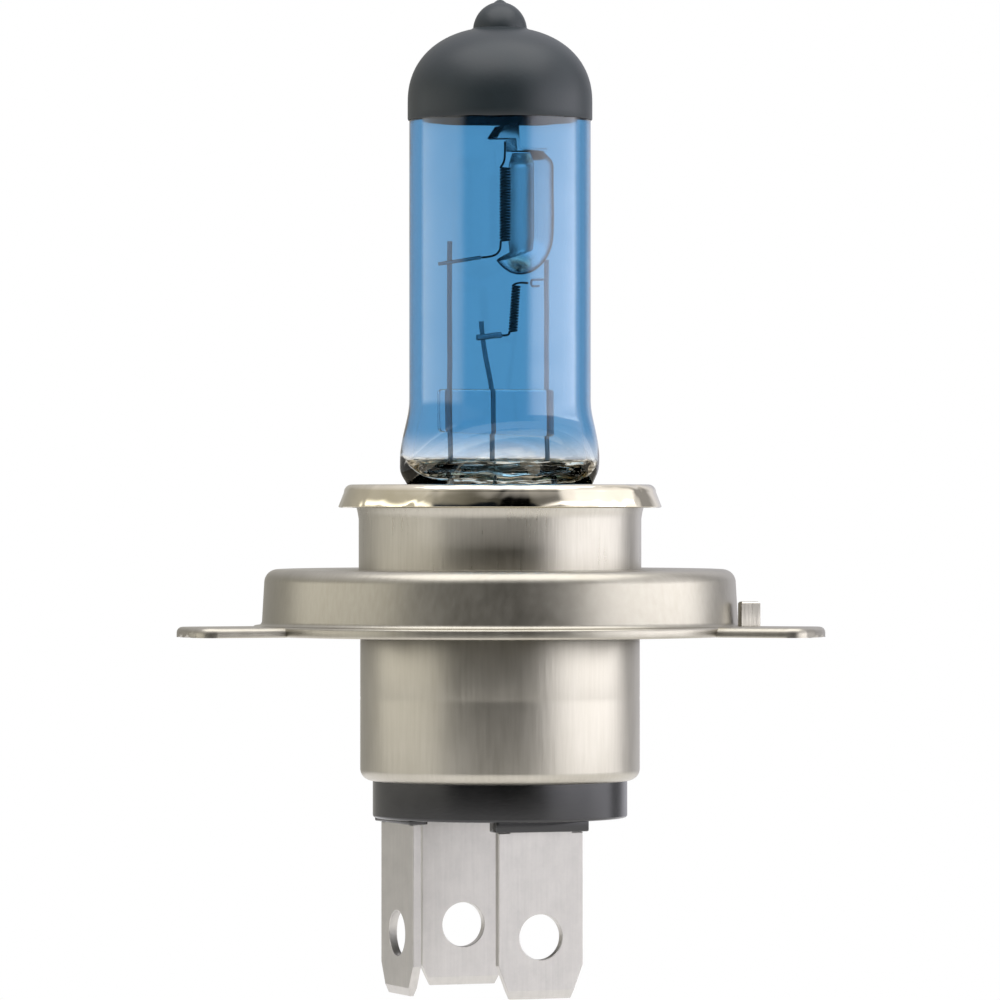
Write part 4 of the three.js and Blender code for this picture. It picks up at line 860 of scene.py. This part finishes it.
for angle in lug_angles:
    cut_with(ring, plan_plate("lug", lug_outline(), -ring_sheet, 0, 0.12, angle, 0.5), "UNION")
key_length, key_height, key_turn = 1.8, 2.2, 40
key_middle = Vector((ring_radius + 0.1 + key_length / 2, (lug_width - ring_sheet) / 2))
key_corners = [Vector((x * key_length / 2, y * ring_sheet / 2))
               for x, y in ((-1, -1), (1, -1), (1, 1), (-1, 1))]
key_turned = [key_middle + Matrix.Rotation(math.radians(key_turn), 2) @ corner for corner in key_corners]
cut_with(ring, plan_plate("key", [tuple(corner) for corner in key_turned],
                          -ring_sheet / 2, key_height, 0.1, lug_angles[1], 0.2), "UNION")
ring.data.shade_smooth()
ring.data.set_sharp_from_angle(angle=math.radians(30))

# Pressed satin nickel: the same plate over rolled strip, with clouds and short smears.
# The key's sheared faces are burnished by the tool, so they are as bright as the drawn sleeve.
pressed_nickel = satin_nickel("pressed_satin_nickel", "#8F8A7C", "#B4B0A5", 0.3, (0.25, 1, 0.25), 0.34)
ring.data.materials.append(pressed_nickel)
ring.data.materials.append(drawn_nickel)
for face in ring.data.polygons:
    outside_flange = face.center.xy.length > (flange_radius + 0.02) * MM
    face.material_index = int(outside_flange and face.center.z > 0.3 * MM)
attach(ring, body)
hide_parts("focus_ring")


# Base shell. A deep-drawn cup of nickel-plated steel with its bottom edge rolled in round the
# insulator. A faint step near mid-height shows where the second draw stopped.
shell_low, shell_high = box_mm("base_shell")
shell_radius, strip, lip_round = shell_high.x, 0.5, 1.05
shell_bottom, shell_top, shell_step = shell_low.z, shell_high.z, -6.6
lip_radius = shell_radius - 1.08
neck_radius = sleeve_radius - strip - 0.05
rim_level, rim_round, step_half, step_depth = -0.75, 0.15, 0.25, 0.015
round_x, round_z = shell_radius - lip_round, shell_bottom + lip_round
shell = add_mesh("shell", turn_outline(
    [(lip_radius, shell_bottom + 0.02)]
    + arc(round_x, round_z, lip_round, lip_round, -90, 0, 12)
    + [(shell_radius, shell_step - step_half), (shell_radius - step_depth, shell_step),
       (shell_radius, shell_step + step_half), (shell_radius, rim_level)]
    + arc(shell_radius - rim_round, rim_level, rim_round, rim_round, 0, 90, 3)
    + [(neck_radius, -0.55), (neck_radius, shell_top), (neck_radius - strip, shell_top),
       (neck_radius - strip, -1.1), (shell_radius - strip, -1.6)]
    + arc(round_x, round_z, lip_round - strip, lip_round - strip, 0, -90, 6)
    + [(lip_radius, shell_bottom + strip)],
    segments=192, closed=True))
# Deep-drawn satin nickel: stretched further than the sleeve, so duller, with coarser upright lines.
deep_nickel = satin_nickel("deep_drawn_satin_nickel", "#9A9588", "#C0BCB1", 0.35, (1, 1, 0.08), 0.36)
shell.data.materials.append(deep_nickel)
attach(shell, body)
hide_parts("base_shell")


# Insulator. A disc of black glass-filled plastic moulded round the blades, with a raised boss at
# each blade. Satin from the mould, with grey scuffs.
insulator_low, insulator_high = box_mm("insulator_base")
boss_wall, boss_thickness, edge = 0.4, 1.8, 0.25
insulator_bottom = insulator_low.z + 0.9
insulator_radius = lip_radius - 0.05
tab_thickness = 0.8
tab_radius = -box_mm("contact_tab_dipped")[0].x - tab_thickness / 2
tab_width = box_mm("contact_tab_main")[1].x * 2
shank_width, shank_thickness, shoulder_gap = 6.0, 0.6, 0.05
inner_radius = shell_radius - strip - 0.05
insulator = add_mesh("insulator", turn_outline(
    [(0, insulator_bottom)]
    + arc(insulator_radius - edge, insulator_bottom + edge, edge, edge, -90, 0, 5)
    + [(insulator_radius, shell_bottom + 0.55), (inner_radius, shell_bottom + 1.12),
       (inner_radius, insulator_high.z), (0, insulator_high.z)], segments=160))


def radial_block(name, radius, half_width, thickness, low, high, bevel, turn):
    """A bevelled block whose middle stands at a radius along +X, before it is turned round the axis."""
    shape = bmesh.new()
    size = Matrix.Diagonal((thickness * MM, 2 * half_width * MM, (high - low) * MM, 1))
    spot = Matrix.Translation((radius * MM, 0, (low + high) / 2 * MM))
    bmesh.ops.create_cube(shape, size=1, matrix=spot @ size)
    bmesh.ops.bevel(shape, geom=shape.edges[:], offset=bevel * MM, segments=2, affect="EDGES", profile=0.5)
    bmesh.ops.rotate(shape, verts=shape.verts, matrix=Matrix.Rotation(math.radians(turn), 3, "Z"))
    return add_mesh(name, shape)


# Each blade's place round the axis, the width and height of its end taper, and its boss's height.
tabs = {
    "contact_tab_dipped": (180, 1.4, 2.7, 0.35),
    "contact_tab_main": (270, 1.15, 3.0, 0.9),
    "contact_tab_ground": (90, 0.9, 1.9, 0.35),
}
for angle, _, _, boss_height in tabs.values():
    cut_with(insulator, radial_block(
        "boss", tab_radius, tab_width / 2 + boss_wall, boss_thickness,
        insulator_bottom - boss_height, insulator_bottom + 0.5, 0.15, angle), "UNION")
for angle, _, _, _ in tabs.values():
    cut_with(insulator, radial_block(
        "slot", tab_radius, shank_width / 2 + 0.03, shank_thickness + 0.06,
        insulator_low.z - 1, insulator_high.z + 1, 0.02, angle))
insulator.data.shade_smooth()
insulator.data.set_sharp_from_angle(angle=math.radians(35))

# Glass-filled polyphenylene sulphide, moulded black: IOR 1.6, satin, with a fine mould texture of
# 0.2 mm grain and paler scuffs.
plastic, tree, shader, place = new_material("moulded_black_plastic", {"IOR": 1.6})
scuff = add_node(tree, "ShaderNodeTexNoise", {"Scale": 1 / (3 * MM), "Detail": 5.0, "Roughness": 0.65},
                 {"Vector": place})
worn = add_node(tree, "ShaderNodeMapRange", {"From Min": 0.5, "From Max": 0.8},
                {"Value": scuff.outputs["Fac"]})
shade = add_node(tree, "ShaderNodeMix", {
    "data_type": "RGBA", 6: linear("#040403"), 7: linear("#161512")}, {0: worn.outputs["Result"]})
tree.links.new(shade.outputs[2], shader.inputs["Base Color"])
gloss = add_node(tree, "ShaderNodeMapRange", {"To Min": 0.15, "To Max": 0.26},
                 {"Value": scuff.outputs["Fac"]})
tree.links.new(gloss.outputs["Result"], shader.inputs["Roughness"])
grain = add_node(tree, "ShaderNodeTexNoise", {"Scale": 1 / (0.2 * MM), "Detail": 2.0}, {"Vector": place})
texture = add_node(tree, "ShaderNodeBump", {"Strength": 0.06, "Distance": 0.05 * MM},
                   {"Height": grain.outputs["Fac"]})
tree.links.new(texture.outputs["Normal"], shader.inputs["Normal"])
insulator.data.materials.append(plastic)
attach(insulator, body)
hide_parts("insulator_base")


# Contact blades. Stamped from 0.8 mm brass strip and tinned: soft grey, with rounded stamped edges,
# tapered and thinned ends, and a round detent hole. They are moulded into the insulator.
tab_hole, hole_above_end, thin_height, thin_depth, stamped_edge = 2.03, 5.5, 0.75, 0.2, 0.08


def blade(name, end, top, shoulder, taper_width, taper_height, turn):
    """One blade standing in the plane x = 0, moved out to its radius and turned to its place."""
    half = tab_width / 2
    shank = shank_width / 2
    outline = [(-shank, top), (-shank, shoulder), (-half, shoulder), (-half, end + taper_height),
               (taper_width - half, end), (half - taper_width, end), (half, end + taper_height),
               (half, shoulder), (shank, shoulder), (shank, top)]
    curve = bpy.data.curves.new(name, "CURVE")
    curve.dimensions = "2D"
    curve.fill_mode = "BOTH"
    curve.extrude = (tab_thickness / 2 - stamped_edge) * MM
    curve.bevel_depth = stamped_edge * MM
    curve.bevel_resolution = 2
    curve.offset = -stamped_edge * MM
    circle = [(tab_hole * math.cos(a), end + hole_above_end + tab_hole * math.sin(a))
              for a in (2 * math.pi * i / 64 for i in range(64))]
    for points in (outline, circle):
        spline = curve.splines.new("POLY")
        spline.points.add(len(points) - 1)
        for point, (across, up) in zip(spline.points, points):
            point.co = (across * MM, up * MM, 0, 1)
        spline.use_cyclic_u = True
    maker = bpy.data.objects.new(name, curve)
    loose = bpy.data.meshes.new_from_object(maker)
    bpy.data.objects.remove(maker)
    shape = bmesh.new()
    shape.from_mesh(loose)
    bpy.data.meshes.remove(loose)
    bmesh.ops.remove_doubles(shape, verts=shape.verts, dist=1e-7)
    for cut_height in (end + thin_height, end + hole_above_end, end + hole_above_end + 4, shoulder):
        bmesh.ops.bisect_plane(shape, geom=shape.verts[:] + shape.edges[:] + shape.faces[:],
                               plane_co=(0, cut_height * MM, 0), plane_no=(0, 1, 0))
    for vert in shape.verts:
        thinning = min(1, max(0, (end + thin_height - vert.co.y / MM) / thin_height))
        vert.co.z *= 1 - thinning * thin_depth / (tab_thickness / 2)
        if vert.co.y / MM > shoulder + 0.02:
            vert.co.z *= shank_thickness / tab_thickness
    place_it = (
        Matrix.Rotation(math.radians(turn), 4, "Z")
        @ Matrix.Translation((tab_radius * MM, 0, 0))
        @ Matrix.Rotation(math.pi / 2, 4, "Z")
        @ Matrix.Rotation(math.pi / 2, 4, "X")
    )
    bmesh.ops.transform(shape, matrix=place_it, verts=shape.verts)
    return add_mesh(name, shape, 12)


# Tinned brass: matt tin plate over stamped strip, with faint rolling lines along the blade, dull
# spots, and rubbed streaks where a plug has slid.
tin, tree, shader, place = new_material("tinned_brass_strip", {"Metallic": 1.0})
lines = worked_lines(tree, place, (1, 1, 0.05), 0.3, 3.0)
spots = add_node(tree, "ShaderNodeTexNoise", {"Scale": 1 / (1.6 * MM), "Detail": 5.0, "Roughness": 0.7},
                 {"Vector": place})
blend = add_node(tree, "ShaderNodeMix", {"Factor": 0.35}, {"A": spots.outputs["Fac"], "B": lines})
shade = add_node(tree, "ShaderNodeMix", {
    "data_type": "RGBA", 6: linear("#A5A39F"), 7: linear("#CECBC5")}, {0: blend.outputs[0]})
tree.links.new(shade.outputs[2], shader.inputs["Base Color"])
gloss = add_node(tree, "ShaderNodeMapRange", {"To Min": 0.34, "To Max": 0.48}, {"Value": blend.outputs[0]})
tree.links.new(gloss.outputs["Result"], shader.inputs["Roughness"])
scratch = add_node(tree, "ShaderNodeBump", {"Strength": 0.18, "Distance": 0.04 * MM},
                   {"Height": lines})
tree.links.new(scratch.outputs["Normal"], shader.inputs["Normal"])
for node_name, (angle, taper_width, taper_height, boss_height) in tabs.items():
    low, high = box_mm(node_name)
    shoulder = insulator_bottom - boss_height - shoulder_gap
    tab = blade(node_name + "_blade", low.z, high.z, shoulder, taper_width, taper_height, angle)
    tab.data.materials.append(tin)
    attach(tab, body)
    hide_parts(node_name)


# The visual model's size, as its lowest and highest corners.
low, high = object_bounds()
